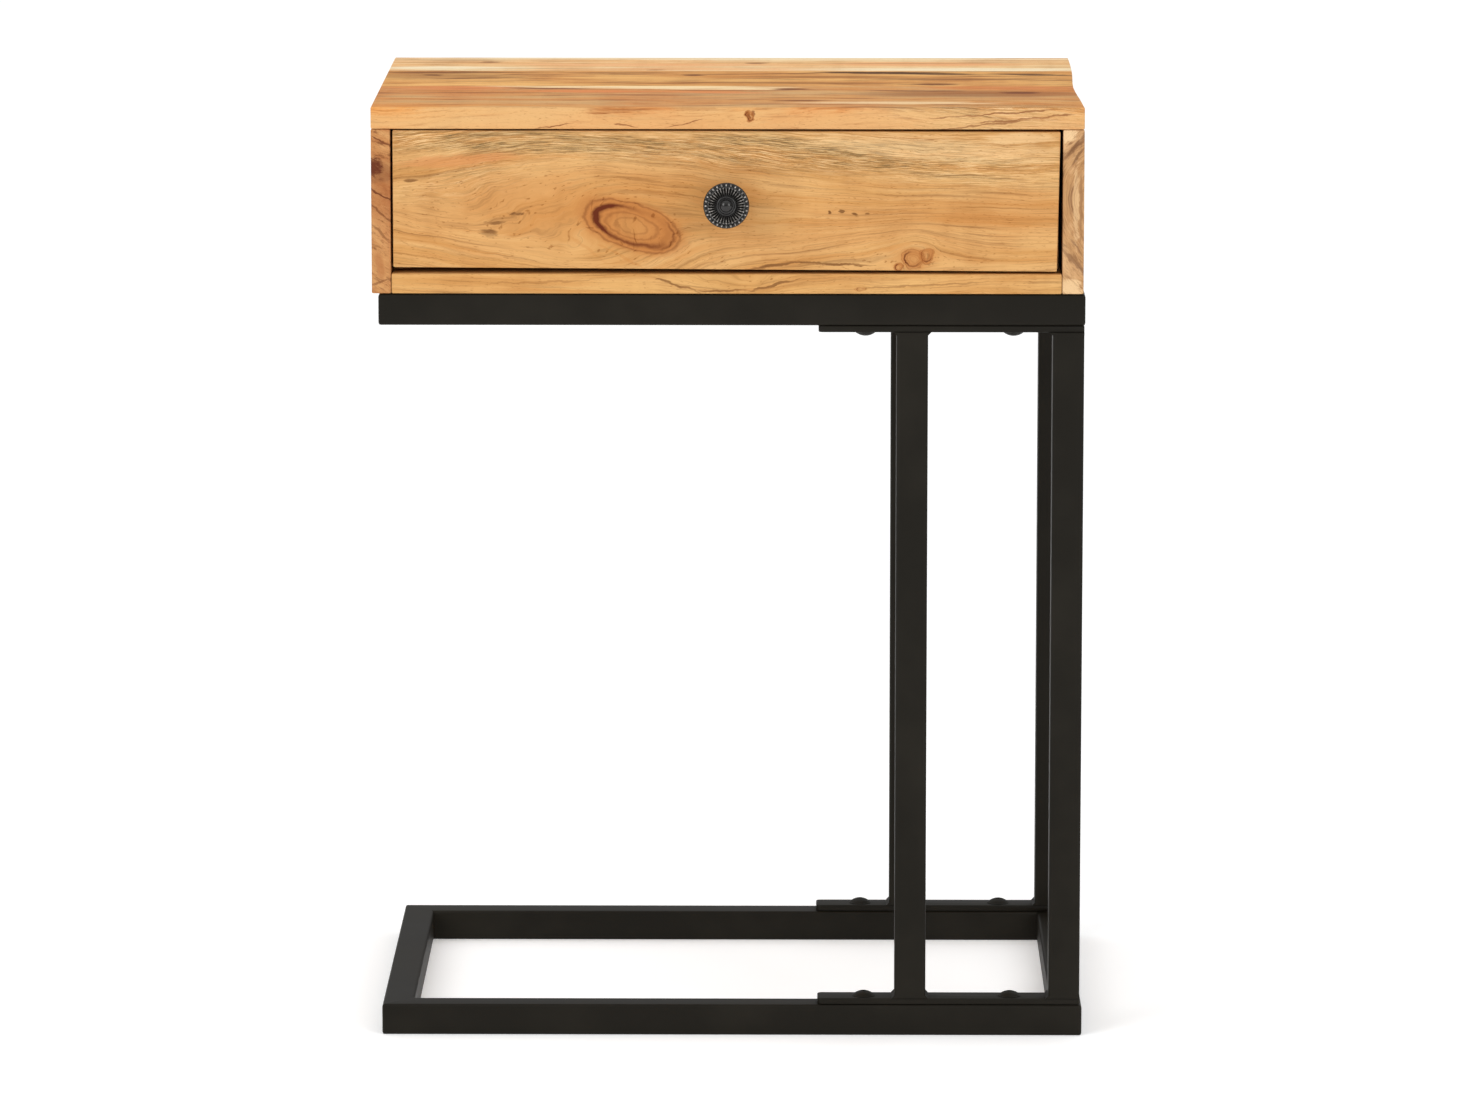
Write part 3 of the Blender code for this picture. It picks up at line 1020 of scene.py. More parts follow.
    def _knots(self, g: Graph, colour: Field, rough_place: Place) -> Field:
        """Adds the knots' red heartwood, their rings and the dark crescent on one side.

        Args:
            g: The finish's graph.
            colour: The colour so far.
            rough_place: The uneven place.

        Returns:
            The colour with its knots.
        """
        for knot in self.knots:
            u, v, square = self._ellipse(g, knot, rough_place)
            radius = g.math("SQRT", square)
            red = g.fall(radius, knot.glow) * (knot.red - g.fall(radius, knot.heart))
            colour = g.mix(red * knot.strength, colour, self.tones.knot)
            darker_side = g.math("MAXIMUM", g.rise(-u, knot.crescent), g.rise(-v, knot.belly))
            ring = g.stroke(radius, knot.rim) * (knot.rim_least + knot.rim_most * darker_side)
            for line in (knot.outline, *knot.inner_rings):
                ring = ring + g.stroke(radius, line)
            ring = ring + g.stroke(radius, knot.tip) * g.rise(u, knot.far_end)
            share = g.math("MINIMUM", ring * knot.strength, 1.0)
            colour = g.mix(share, colour, self.tones.knot_line)
        return colour

    def _texture(self, g: Graph, grain: Place) -> tuple[Field, Field]:
        """Adds the fine fibre, and the pores as short dark dashes along the grain.

        Args:
            g: The finish's graph.
            grain: The place on the board, with the growth rings' distance across it.

        Returns:
            The fibre, and the pores.
        """
        seed = self.seed * self.lacquer.seed_stretch
        fibre = self._woven(g, self.lacquer.fibre, grain, seed)
        pores = self._woven(g, self.lacquer.pores, grain, -seed)
        return fibre, g.rise(pores, self.lacquer.open_pores)


class Grit(NamedTuple):
    """A noise in a metal's finish: how fine it is, a millimetre, and its detail."""

    scale: float
    detail: float
    roughness: float


@dataclass(frozen=True)
class PowderCoat:
    """Semi-gloss black powder coat, with its fine orange peel."""

    colour: Colour = (0.0078, 0.0063, 0.0037)
    dusty: Colour = (0.0122, 0.0101, 0.0065)
    cloud: Grit = Grit(0.012, 3.0, 0.6)
    peel: Grit = Grit(1.1, 2.0, 0.5)
    grain: Grit = Grit(5.0, 1.0, 0.5)
    dust: Rise = Rise(0.40, 0.70)
    roughness: float = 0.42
    cloud_roughness: float = 0.10
    peel_roughness: float = 0.05
    specular: float = 0.13
    grain_height: float = 0.35
    bump_strength: float = 0.22
    bump_height: float = 0.05 * MM

    def build(self) -> bpy.types.Material:
        """Builds the finish as a material.

        Returns:
            The material.
        """
        g = Coating("black_powder_coat")
        point = g.point(*g.place())
        cloud = g.noise(point, *self.cloud)
        peel = g.noise(point, *self.peel)
        height = peel + self.grain_height * g.noise(point, *self.grain)
        return g.surface(
            Base_Color=g.mix(g.rise(cloud, self.dust), self.colour, self.dusty),
            Roughness=self.roughness + self.cloud_roughness * cloud + self.peel_roughness * peel,
            Specular_IOR_Level=self.specular,
            Normal=g.bump(height, self.bump_strength, self.bump_height),
        )


@dataclass(frozen=True)
class CastIron:
    """Blackened cast iron, with painted highlights on its flutes' ridges and its beads' crowns, where
    the lights' glints fall.

    Attributes:
        centre: The middle of the round face.
        flutes: How many flutes there are.
        beads: How many beads there are.
        dark: The blackening.
        painted_glint: The light colour of the painted highlights.
        sand: The grit of the casting.
        patches: Where the painted highlights are stronger.
        glint_patchiness: Where in the patches they are.
        glint_least: How strong the painted highlights are everywhere.
        fluted: The radii that the painted highlights on the flutes' ridges get brighter between, in
            millimetres.
        flutes_end: The radii that they end between.
        beaded: The ring of beads.
        ridge: How near a ridge's top the painted highlight reaches, as a cosine.
        crown: How near a bead's crown the painted highlight reaches, as a cosine.
        metal: How metallic the blackening and its painted highlights look.
        roughness: Its smoothest.
        sand_roughness: What the grit adds to it.
        specular: How strongly it reflects.
        bump_strength: The strength of the grit's relief.
        bump_height: The height of the grit.
    """

    centre: Point
    flutes: int
    beads: int
    dark: Colour = (0.009, 0.008, 0.007)
    painted_glint: Colour = (0.42, 0.39, 0.36)
    sand: Grit = Grit(2.2, 3.0, 0.65)
    patches: Grit = Grit(0.5, 2.0, 0.5)
    glint_patchiness: Rise = Rise(0.35, 0.65)
    glint_least: float = 0.30
    fluted: Rise = Rise(6.6, 11.4)
    flutes_end: Rise = Rise(11.4, 11.9)
    beaded: Stroke = Stroke(13.2, 1.1)
    ridge: Rise = Rise(0.1, 1.0)
    crown: Rise = Rise(0.4, 1.0)
    metal: float = 0.35
    roughness: float = 0.12
    sand_roughness: float = 0.14
    specular: float = 0.70
    bump_strength: float = 0.10
    bump_height: float = 0.08 * MM

    def build(self) -> bpy.types.Material:
        """Builds the finish as a material.

        Returns:
            The material.
        """
        g = Coating("blackened_cast_iron")
        x, y, z = g.place()
        point = g.point(x, y, z)
        sand = g.noise(point, *self.sand)
        patches = g.noise(point, *self.patches)
        out, up = x - self.centre[0] / MM, z - self.centre[2] / MM
        radius = g.distance(out, up)
        turn = g.math("ARCTAN2", up, out)
        # Painted highlights: the flutes' ridges and the beads' crowns are lightened in patches, where
        # the lights' glints fall.
        ridges = g.rise(g.math("COSINE", turn * self.flutes), self.ridge) * g.rise(radius, self.fluted)
        ridges = ridges * g.fall(radius, self.flutes_end)
        crowns = g.rise(g.math("COSINE", turn * self.beads), self.crown) * g.stroke(radius, self.beaded)
        painted_glint = (ridges + crowns) * (self.glint_least + g.rise(patches, self.glint_patchiness))
        return g.surface(
            Base_Color=g.mix(g.math("MINIMUM", painted_glint, 1.0), self.dark, self.painted_glint),
            Metallic=self.metal,
            Roughness=self.roughness + self.sand_roughness * sand,
            Specular_IOR_Level=self.specular,
            Normal=g.bump(sand, self.bump_strength, self.bump_height),
        )


@dataclass(frozen=True)
class ZincPlate:
    """Bright zinc on the screws and nuts."""

    colour: Colour = (0.52, 0.52, 0.50)
    shade: Colour = (0.6, 0.6, 0.55)
    cloud: Grit = Grit(0.9, 3.0, 0.6)
    shading: float = 0.35
    roughness: float = 0.26
    cloud_roughness: float = 0.22
    bump_strength: float = 0.15
    bump_height: float = 0.05 * MM

    def build(self) -> bpy.types.Material:
        """Builds the finish as a material.

        Returns:
            The material.
        """
        g = Coating("zinc_plate")
        cloud = g.noise(g.point(*g.place()), *self.cloud)
        return g.surface(
            Base_Color=g.shade(self.shading * cloud, self.colour, self.shade),
            Metallic=1.0,
            Roughness=self.roughness + self.cloud_roughness * cloud,
            Normal=g.bump(cloud, self.bump_strength, self.bump_height),
        )


# ---------------------------------------------------------------------------------------------
# Wooden case
# ---------------------------------------------------------------------------------------------


@dataclass
class Case:
    """The acacia box: a top of three glued staves over two sides, a bottom and a back."""

    edge: float = 0.9 * MM
    edge_steps: int = 3
    sharp: float = 45.0  # degrees
    stave_joints: tuple[float, float] = (0.413, 0.717)  # shares of the depth, from the front
    hollow_depth: float = 2.9 * MM
    hollow_place: float = 0.40  # share of the depth, from the front
    hollow_width: float = 0.25  # share of the depth
    hollow_steps: int = 16
    reach: float = 0.2 * MM  # within which a point of the board is on a cut
    hollow_fade: tuple[tuple[float, float], ...] = (  # down from the top, and share of the depth
        (0.0, 1.0),
        (6.0 * MM, 0.93),
        (14.0 * MM, 0.70),
        (24.0 * MM, 0.38),
        (36.0 * MM, 0.12),
    )

    def hollow(self, share: float) -> float:
        """The depth of the hollow that wear has left in the right-hand end, at a share of the board's
        depth.
        """
        off = (share - self.hollow_place) / self.hollow_width
        return self.hollow_depth * math.exp(-off * off)

    def wear(self, piece: bpy.types.Object, fade: Sequence[tuple[float, float]]) -> None:
        """Wears the hollow into the right-hand end of an open board.

        Args:
            piece: The board, in edit mode.
            fade: Heights in metres, and the share of the hollow's depth at each.
        """
        low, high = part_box("top_board")
        end = max(vertex.co.x for vertex in piece.data.vertices)
        shares = {i / self.hollow_steps for i in range(1, self.hollow_steps)} | set(self.stave_joints)
        lines = [(share, low[1] + share * (high[1] - low[1])) for share in sorted(shares)]
        cuts = [((0.0, y, 0.0), (0.0, 1.0, 0.0)) for _, y in lines]
        cuts += [((0.0, 0.0, height), (0.0, 0.0, 1.0)) for height, _ in fade]
        for place, way in cuts:
            bpy.ops.mesh.select_all(action="SELECT")
            bpy.ops.mesh.bisect(plane_co=place, plane_no=way)
        for share, y in lines:
            for height, part in fade:
                spot = Vector((end, y, height))
                pick(piece, "VERT", lambda v, spot=spot: (v.co - spot).length < self.reach)
                shift(x=-part * self.hollow(share))

    def top(self) -> bpy.types.Object:
        """Builds the top, cut at its glue joints, with the hollow that wear has left in its right-hand
        end.

        Returns:
            The top, with a finish on each stave.
        """
        low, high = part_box("top_board")
        piece = block("top_panel", low, high)
        with editing(piece):
            self.wear(piece, ((low[2], 1.0), (high[2], 1.0)))
            pick(piece, "EDGE", lambda e: turns(e, self.sharp))
            round_off(self.edge, self.edge_steps)
        for stave in self.stave_finishes():
            piece.data.materials.append(stave.build())
        joints = [low[1] + share * (high[1] - low[1]) for share in self.stave_joints]
        for face in piece.data.polygons:
            face.material_index = sum(face.center.y > joint for joint in joints)
        return smooth(piece)

    def stave_finishes(self) -> list[Acacia]:
        """Chooses the staves' timber.

        Returns:
            The front, middle and back staves' finishes.
        """
        low, high = corners("top_board")
        x, _, z = middle("top_board")
        bounds = [0.0, *self.stave_joints, 1.0]
        middles = [(first + last) / 2 for first, last in zip(bounds, bounds[1:])]
        centres = [(x, low.y + share * (high.y - low.y), z) for share in middles]
        staves = (self.front_stave, self.middle_stave, self.back_stave)
        return [stave(centre) for stave, centre in zip(staves, centres)]

    def front_stave(self, centre: Point) -> Acacia:
        """Chooses the front stave's timber, which shows on the top's front edge too.

        Args:
            centre: The stave's middle.

        Returns:
            Its finish.
        """
        return Acacia(
            "acacia_front_stave",
            centre,
            Axis.X,
            Axis.Y,
            seed=11.0,
            tones=Tones(
                cream=(1.00, 0.760, 0.430),
                pale=(0.71, 0.425, 0.180),
                body=(0.74, 0.335, 0.096),
                warm=(0.66, 0.225, 0.056),
                red=(0.80, 0.270, 0.085),
                dark=(0.21, 0.063, 0.020),
            ),
            streaks=0.65,
            warmth=0.60,
            wander=12.0,
            lean=1.1,
            coarse=3.6,
            knots=(Knot(14.0, 1.6, 2.6, 3.5, 0.0, 1.0, Face.EDGE),),
            marks=(
                Mark(0.0, -3.0, 400.0, 10.5, 0.0, 0.75, Face.EDGE, tone=Tone.PALE),
                Mark(13.2, 1.8, 1.6, 3.8, 0.0, 1.1, Face.EDGE),
                Mark(16.6, 3.2, 1.1, 2.4, 0.0, 0.9, Face.EDGE),
                Mark(-112.0, -5.6, 16.0, 0.4, 9.0, 0.9, Face.EDGE),
                Mark(-64.0, -4.6, 7.0, 0.5, -8.0, 0.8, Face.EDGE),
                Mark(-27.0, -3.4, 12.0, 0.5, 14.0, 0.9, Face.EDGE),
                Mark(170.0, 3.0, 44.0, 0.6, 4.0, 0.8, Face.EDGE),
                Mark(185.0, -0.5, 36.0, 0.6, 5.0, 0.8, Face.EDGE),
                Mark(165.0, -3.6, 40.0, 0.6, 6.0, 0.7, Face.EDGE),
                Mark(176.0, 55.0, 46.0, 14.0, 0.0, 0.5, tone=Tone.RED),
                Mark(-174.0, 50.0, 44.0, 14.0, 0.0, 0.7, tone=Tone.RED),
                Mark(-88.0, 30.0, 46.0, 8.0, -4.0, 0.9, tone=Tone.RED),
                Mark(-11.0, 25.0, 38.0, 8.0, -4.0, 0.8, tone=Tone.RED),
                Mark(-160.0, 22.0, 42.0, 5.0, 0.0, 0.5),
                Mark(-60.0, 10.0, 50.0, 5.0, 0.0, 0.4),
                Mark(-114.0, 47.0, 32.0, 5.0, -5.0, 0.9),
                Mark(45.0, -23.0, 20.0, 4.5, 0.0, 0.9),
                Mark(154.0, 16.0, 80.0, 20.0, 0.0, 0.60),
                Mark(105.0, -36.0, 70.0, 10.0, 0.0, 0.8, tone=Tone.CREAM),
                Mark(-150.0, -34.0, 80.0, 12.0, 0.0, 0.5, tone=Tone.PALE),
                Mark(-62.0, 57.0, 118.0, 15.0, -7.0, 1.1, tone=Tone.CREAM),
                Mark(41.0, 44.0, 14.0, 6.0, 0.0, 1.1),
                Mark(186.0, 24.0, 14.0, 8.0, 0.0, 1.0),
                Mark(120.0, 34.0, 40.0, 4.0, -4.0, 0.8),
            ),
            minerals=(Patch(170.0, -62.0, 60.0, 14.0, 0.0, 1.0),),
        )

    def middle_stave(self, centre: Point) -> Acacia:
        """Chooses the middle stave's timber.

        Args:
            centre: The stave's middle.

        Returns:
            Its finish.
        """
        return Acacia(
            "acacia_middle_stave",
            centre,
            Axis.X,
            Axis.Y,
            seed=16.7,
            tones=Tones(
                pale=(0.92, 0.520, 0.175),
                body=(0.74, 0.350, 0.100),
                warm=(0.60, 0.225, 0.056),
                dark=(0.19, 0.062, 0.017),
                vein=(0.085, 0.034, 0.013),
            ),
            streaks=0.80,
            warmth=0.55,
            wander=12.0,
            lean=1.0,
            coarse=3.8,
            marks=(
                Mark(-193.0, 14.0, 52.0, 24.0, 0.0, 0.45),
                Mark(-195.0, 20.0, 8.0, 5.0, -10.0, 1.0),
                Mark(-160.0, 2.0, 34.0, 4.0, 8.0, 0.8),
                Mark(-180.0, 36.0, 60.0, 6.0, 0.0, 0.9),
                Mark(-65.0, 4.0, 50.0, 12.0, 0.0, 0.7, tone=Tone.PALE),
                Mark(-24.0, 20.0, 8.0, 6.0, 0.0, 1.0),
                Mark(-75.0, 34.0, 40.0, 5.0, 0.0, 0.6),
                Mark(100.0, 35.0, 52.0, 7.0, -3.0, 1.15, tone=Tone.VEIN),
                Mark(140.0, 26.0, 36.0, 4.0, -5.0, 0.9, tone=Tone.VEIN),
                Mark(201.0, 24.0, 30.0, 5.0, -8.0, 1.0, tone=Tone.VEIN),
                Mark(60.0, 10.0, 60.0, 8.0, 0.0, 0.5),
                Mark(150.0, -4.0, 60.0, 7.0, 0.0, 0.7),
                Mark(134.0, -34.0, 16.0, 7.0, 0.0, 1.0),
                Mark(70.0, -28.0, 50.0, 5.0, 0.0, 0.6),
                Mark(10.0, -24.0, 60.0, 6.0, 0.0, 0.5),
                Mark(-150.0, -36.0, 70.0, 6.0, 0.0, 0.7, tone=Tone.PALE),
            ),
        )

    def back_stave(self, centre: Point) -> Acacia:
        """Chooses the back stave's timber.

        Args:
            centre: The stave's middle.

        Returns:
            Its finish.
        """
        return Acacia(
            "acacia_back_stave",
            centre,
            Axis.X,
            Axis.Y,
            seed=22.4,
            tones=Tones(
                cream=(1.00, 0.840, 0.560),
                pale=(1.00, 0.760, 0.430),
                body=(0.95, 0.620, 0.290),
                warm=(0.88, 0.430, 0.160),
                red=(0.92, 0.440, 0.190),
                dark=(0.38, 0.170, 0.062),
            ),
            streaks=0.50,
            warmth=0.45,
            wander=10.0,
            lean=1.0,
            coarse=3.4,
            marks=(
                Mark(-54.0, -4.0, 100.0, 9.0, 0.0, 0.6, tone=Tone.RED),
                Mark(-190.0, 10.0, 40.0, 5.0, 0.0, 0.4),
                Mark(128.0, 2.0, 70.0, 13.0, 0.0, 0.8, tone=Tone.RED),
                Mark(120.0, 6.0, 60.0, 4.0, 0.0, 0.45),
                Mark(-160.0, 13.0, 9.0, 6.0, 0.0, 1.1),
                Mark(17.0, 8.0, 9.0, 6.0, 0.0, 1.0),
                Mark(-49.0, -34.0, 8.0, 5.0, 0.0, 0.9),
                Mark(-192.0, -24.0, 56.0, 10.0, 0.0, 1.1, tone=Tone.CREAM),
                Mark(148.0, -32.0, 100.0, 10.0, 0.0, 1.1, tone=Tone.CREAM),
                Mark(0.0, 36.0, 260.0, 9.0, 0.0, 0.9, tone=Tone.CREAM),
                Mark(-30.0, -30.0, 80.0, 8.0, 0.0, 0.6, tone=Tone.RED),
            ),
        )

    def side(self, node: str, finish: Acacia, is_worn: bool) -> None:
        """Builds a side panel, whose grain runs back, so that its front edge is end grain.

        Args:
            node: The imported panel.
            finish: Its timber.
            is_worn: Whether the hollow of the top goes on down it.
        """
        low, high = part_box(node)
        piece = block(f"{node}_board", low, high)
        with editing(piece):
            if is_worn:
                self.wear(piece, [(high[2] - drop, part) for drop, part in self.hollow_fade])
            pick(piece, "EDGE", lambda e: turns(e, self.sharp))
            round_off(self.edge, self.edge_steps)
        hand_over(smooth(piece), TABLE_BODY, Slot.ACACIA, finish.build(), node)

    def board(self, name: str, node: str, finish: Acacia) -> None:
        """Builds the bottom or the back, with its edges rounded over.

        Args:
            name: The piece's name.
            node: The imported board.
            finish: Its timber.
        """
        piece = block(name, *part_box(node))
        with editing(piece):
            bpy.ops.mesh.select_all(action="SELECT")
            round_off(self.edge, self.edge_steps)
        hand_over(smooth(piece), TABLE_BODY, Slot.ACACIA, finish.build(), node)

    def left_side(self) -> Acacia:
        """Chooses the left panel's timber.

        Returns:
            Its finish, with end grain on its front edge.
        """
        return Acacia(
            "acacia_left_side",
            middle("left_side_panel"),
            Axis.Y,
            Axis.Z,
            seed=3.4,
            tones=Tones(
                pale=(0.62, 0.330, 0.130),
                body=(0.50, 0.225, 0.078),
                warm=(0.38, 0.130, 0.042),
                dark=(0.13, 0.032, 0.012),
            ),
            streaks=0.7,
            warmth=0.6,
            wander=5.0,
            lean=0.6,
            coarse=1.3,
            marks=(
                Mark(0.0, 16.0, 12.0, 24.0, 0.0, 0.5, Face.END, tone=Tone.WARM),
                Mark(-4.5, 28.0, 6.5, 6.5, 0.0, 1.1, Face.END),
                Mark(0.0, 25.0, 12.0, 7.0, 0.0, 0.45, Face.END),
                Mark(0.0, 10.5, 12.0, 0.8, -28.0, 1.0, Face.END),
                Mark(0.0, -1.0, 12.0, 0.8, -42.0, 0.7, Face.END),
                Mark(2.0, 44.0, 10.0, 0.7, -28.0, 0.9, Face.END),
                Mark(-3.0, -22.0, 4.0, 0.8, -20.0, 0.7, Face.END),
                Mark(0.0, -32.0, 12.0, 16.0, 0.0, 0.4, Face.END, tone=Tone.PALE),
                Mark(-1.0, -13.0, 9.0, 1.0, -46.0, 0.6, Face.END),
                Mark(-1.0, -34.0, 3.0, 9.0, 8.0, 0.5, Face.END, tone=Tone.WARM),
                Mark(-1.0, -45.0, 7.0, 1.0, 24.0, 0.6, Face.END),
            ),
        )

    def right_side(self) -> Acacia:
        """Chooses the right panel's timber.

        Returns:
            Its finish, with end grain on its front edge.
        """
        return Acacia(
            "acacia_right_side",
            middle("right_side_panel"),
            Axis.Y,
            Axis.Z,
            seed=8.9,
            tones=Tones(
                cream=(0.80, 0.560, 0.310),
                pale=(0.66, 0.405, 0.200),
                body=(0.50, 0.275, 0.118),
                warm=(0.38, 0.180, 0.072),
                dark=(0.17, 0.074, 0.034),
            ),
            streaks=0.7,
            warmth=0.5,
            wander=4.0,
            coarse=1.2,
            pith=(5.0, 38.5),
            marks=(
                Mark(0.0, 40.5, 12.0, 2.0, 47.0, 0.9, Face.END),
                Mark(3.0, 36.0, 9.0, 0.9, 54.0, 0.8, Face.END),
                Mark(0.0, -30.5, 12.0, 1.5, -47.0, 0.7, Face.END),
                Mark(2.0, -22.0, 8.0, 0.8, -56.0, 0.6, Face.END),
                Mark(1.5, 4.0, 2.0, 28.0, 0.0, 0.4, Face.END, tone=Tone.CREAM),
                Mark(4.6, 4.0, 1.2, 24.0, 0.0, 0.5, Face.END),
                Mark(-4.0, 49.0, 7.0, 5.0, 20.0, 1.0, Face.END, tone=Tone.CREAM),
                Mark(-2.0, -48.0, 10.0, 6.0, -20.0, 0.9, Face.END, tone=Tone.CREAM),
            ),
        )

    def bottom(self) -> Acacia:
        """Chooses the bottom's timber.

        Returns:
            The bottom's finish, which shows on its front edge.
        """
        return Acacia(
            "acacia_bottom",
            middle("bottom_board"),
            Axis.X,
            Axis.Z,
            seed=5.2,
            tones=Tones(pale=(0.71, 0.415, 0.156), body=(0.60, 0.320, 0.104)),
            streaks=0.35,
            warmth=0.25,
            wander=5.0,
            coarse=1.3,
            knots=(Knot(84.0, -3.0, 3.0, 1.6, 0.0, 0.5),),
            swirls=(Patch(8.0, 9.0, 40.0, 12.0, 0.0, 0.95),),
            marks=(
                Mark(-32.0, -0.5, 18.0, 0.9, -18.0, 0.9),
                Mark(30.0, -1.0, 20.0, 0.9, 15.0, 0.9),
                Mark(-2.0, -4.4, 18.0, 0.8, 0.0, 0.9),
                Mark(-120.0, 1.0, 40.0, 0.7, 2.0, 0.5),
                Mark(120.0, -1.0, 50.0, 0.7, 3.0, 0.5),
                Mark(-150.0, 0.0, 70.0, 6.0, 0.0, 0.35, tone=Tone.WARM),
            ),
        )

    def build(self) -> None:
        """Builds and dresses the case."""
        top = self.top()
        hand_over(top, TABLE_BODY, Slot.ACACIA, top.data.materials[0], "top_board")
        self.side("left_side_panel", self.left_side(), False)
        self.side("right_side_panel", self.right_side(), True)
        self.board("case_bottom", "bottom_board", self.bottom())
        back = Acacia("acacia_back", middle("back_panel"), Axis.X, Axis.Z, seed=21.5, wander=12.0)
        self.board("case_back", "back_panel", back)


# ---------------------------------------------------------------------------------------------
# Drawer
# ---------------------------------------------------------------------------------------------


@dataclass
class Drawer:
    """The drawer: a front a little out of square, and the box behind it."""

    edge: float = 0.9 * MM
    edge_steps: int = 3
    corner_trims: dict[tuple[int, int], Spot] = field(  # by the side and level of each corner
        default_factory=lambda: {
            (-1, -1): (-0.5 * MM, 2.9 * MM),
            (-1, 1): (-0.5 * MM, 0.2 * MM),
            (1, -1): (-1.5 * MM, 0.4 * MM),
            (1, 1): (0.2 * MM, -0.5 * MM),
        }
    )

    def finish(self) -> Acacia:
        """Chooses the front's timber: arched grain over one big knot, under mineral streaks, with the
        knob's shadow painted round its middle.

        Returns:
            The front's finish.
        """
        return Acacia(
            "acacia_drawer_front",
            middle("drawer_front"),
            Axis.X,
            Axis.Z,
            seed=2.6,
            streaks=0.42,
            warmth=0.40,
            wander=5.0,
            knots=(
                Knot(108.2, -41.5, 2.6, 2.5, 0.0, 1.0),
                Knot(126.5, -34.5, 4.0, 4.6, 20.0, 0.9),
                Knot(118.0, -36.5, 7.0, 6.0, 0.0, 0.75),
                Knot(-59.6, -15.6, 30.0, 13.4, -19.0, 1.0),
            ),
            swirls=(
                Patch(117.0, -42.0, 30.0, 13.0, 0.0, 0.9),
                Patch(-92.0, -13.0, 66.0, 25.0, -9.0, 0.9),
                Patch(-105.0, 8.0, 110.0, 50.0, 0.0, 0.35),
            ),
            marks=(
                Mark(-115.0, 0.0, 70.0, 18.0, -8.0, 0.35, tone=Tone.WARM),
                Mark(130.0, 34.0, 90.0, 9.0, -3.0, 0.4, tone=Tone.CREAM),
                # Painted shadow of the knob: a warm brown halo round the front's middle, where the knob
                # stands out from it.
                Mark(0.0, 2.0, 22.0, 13.0, 0.0, 0.55, tone=Tone.WARM),
                Mark(118.0, -36.0, 18.0, 9.0, 0.0, 0.55, tone=Tone.WARM),
                Mark(-133.0, -8.0, 6.0, 1.5, 0.0, 1.1),
                Mark(-147.5, -13.4, 7.0, 1.4, 6.0, 0.9),
                Mark(-150.0, -19.8, 6.0, 2.2, 0.0, 1.0),
                Mark(-200.0, 13.4, 4.6, 1.4, 0.0, 0.9),
                Mark(64.6, -7.0, 1.3, 1.1, 0.0, 1.1),
                Mark(72.2, -6.0, 1.7, 0.9, 0.0, 1.0),
                Mark(80.2, -8.2, 2.5, 1.1, -10.0, 1.1),
                Mark(89.0, -7.2, 1.4, 0.9, 0.0, 0.9),
                Mark(30.0, -40.6, 15.0, 1.1, 10.0, 1.0),
                Mark(64.0, -39.6, 30.0, 1.0, -3.0, 1.0),
                Mark(-88.0, -30.0, 14.0, 1.2, -38.0, 0.35, tone=Tone.WARM),
                Mark(-66.0, -35.0, 18.0, 1.0, -28.0, 0.5, tone=Tone.WARM),
                Mark(-170.0, 26.0, 40.0, 4.0, 4.0, 0.5, tone=Tone.RED),
                Mark(-60.0, -13.0, 46.0, 20.0, -16.0, 0.45, tone=Tone.WARM),
                Mark(165.0, -11.0, 40.0, 5.0, 0.0, 0.45, tone=Tone.WARM),
                Mark(185.0, 40.0, 26.0, 4.0, 0.0, 0.6, tone=Tone.CREAM),
                Mark(-120.0, -34.0, 60.0, 8.0, -14.0, 0.5, tone=Tone.PALE),
            ),
            minerals=(
                Patch(-176.0, 41.0, 60.0, 9.0, 0.0, 1.25),
                Patch(-75.0, 36.0, 82.0, 9.0, -3.0, 1.0),
                Patch(-165.0, 14.0, 42.0, 12.0, 15.0, 0.50),
                Patch(25.0, 33.0, 62.0, 10.0, -4.0, 0.95),
                Patch(125.0, 30.0, 100.0, 13.0, -3.0, 1.1),
                Patch(160.0, 14.0, 50.0, 5.0, -2.0, 0.45),
            ),
        )

    def front(self) -> None:
        """Builds the front board, whose gaps in the case are uneven."""
        piece = block("drawer_front_board", *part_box("drawer_front"))
        centre = Vector(middle("drawer_front"))

        def at_corner(vertex: bmesh.types.BMVert, side: int, level: int) -> bool:
            """Tells whether a vertex is at the corner on this side, at this level."""
            off = vertex.co - centre
            return off.x * side > 0 and off.z * level > 0

        with editing(piece):
            for place, (across, up) in self.corner_trims.items():
                pick(piece, "VERT", lambda v, place=place: at_corner(v, *place))
                shift(x=across, z=up)
            bpy.ops.mesh.select_all(action="SELECT")
            round_off(self.edge, self.edge_steps)
        smooth(piece)
        hand_over(piece, DRAWER_BODY, Slot.ACACIA, self.finish().build(), "drawer_front")

    def build(self) -> None:
        """Builds and dresses the drawer."""
        self.front()
        tones = Tones(pale=(0.72, 0.44, 0.20), body=(0.62, 0.34, 0.14))
        sides = (("drawer_left_side", Axis.Y, 31.0), ("drawer_right_side", Axis.Y, 35.5))
        for name, along, seed in (*sides, ("drawer_back", Axis.X, 39.1)):
            timber = Acacia(f"acacia_{name}", middle(name), along, Axis.Z, seed, tones)
            dress_node(name, timber.build())
        ply_tones = Tones(
            pale=(0.72, 0.52, 0.32),
            body=(0.62, 0.42, 0.24),
            warm=(0.55, 0.34, 0.18),
            dark=(0.42, 0.25, 0.13),
        )
        ply = Acacia(
            "drawer_plywood",
            middle("drawer_bottom"),
            Axis.X,
            Axis.Y,
            seed=44.0,
            tones=ply_tones,
            streaks=0.3,
            warmth=0.3,
            wander=20.0,
        )
        dress_node("drawer_bottom", ply.build())


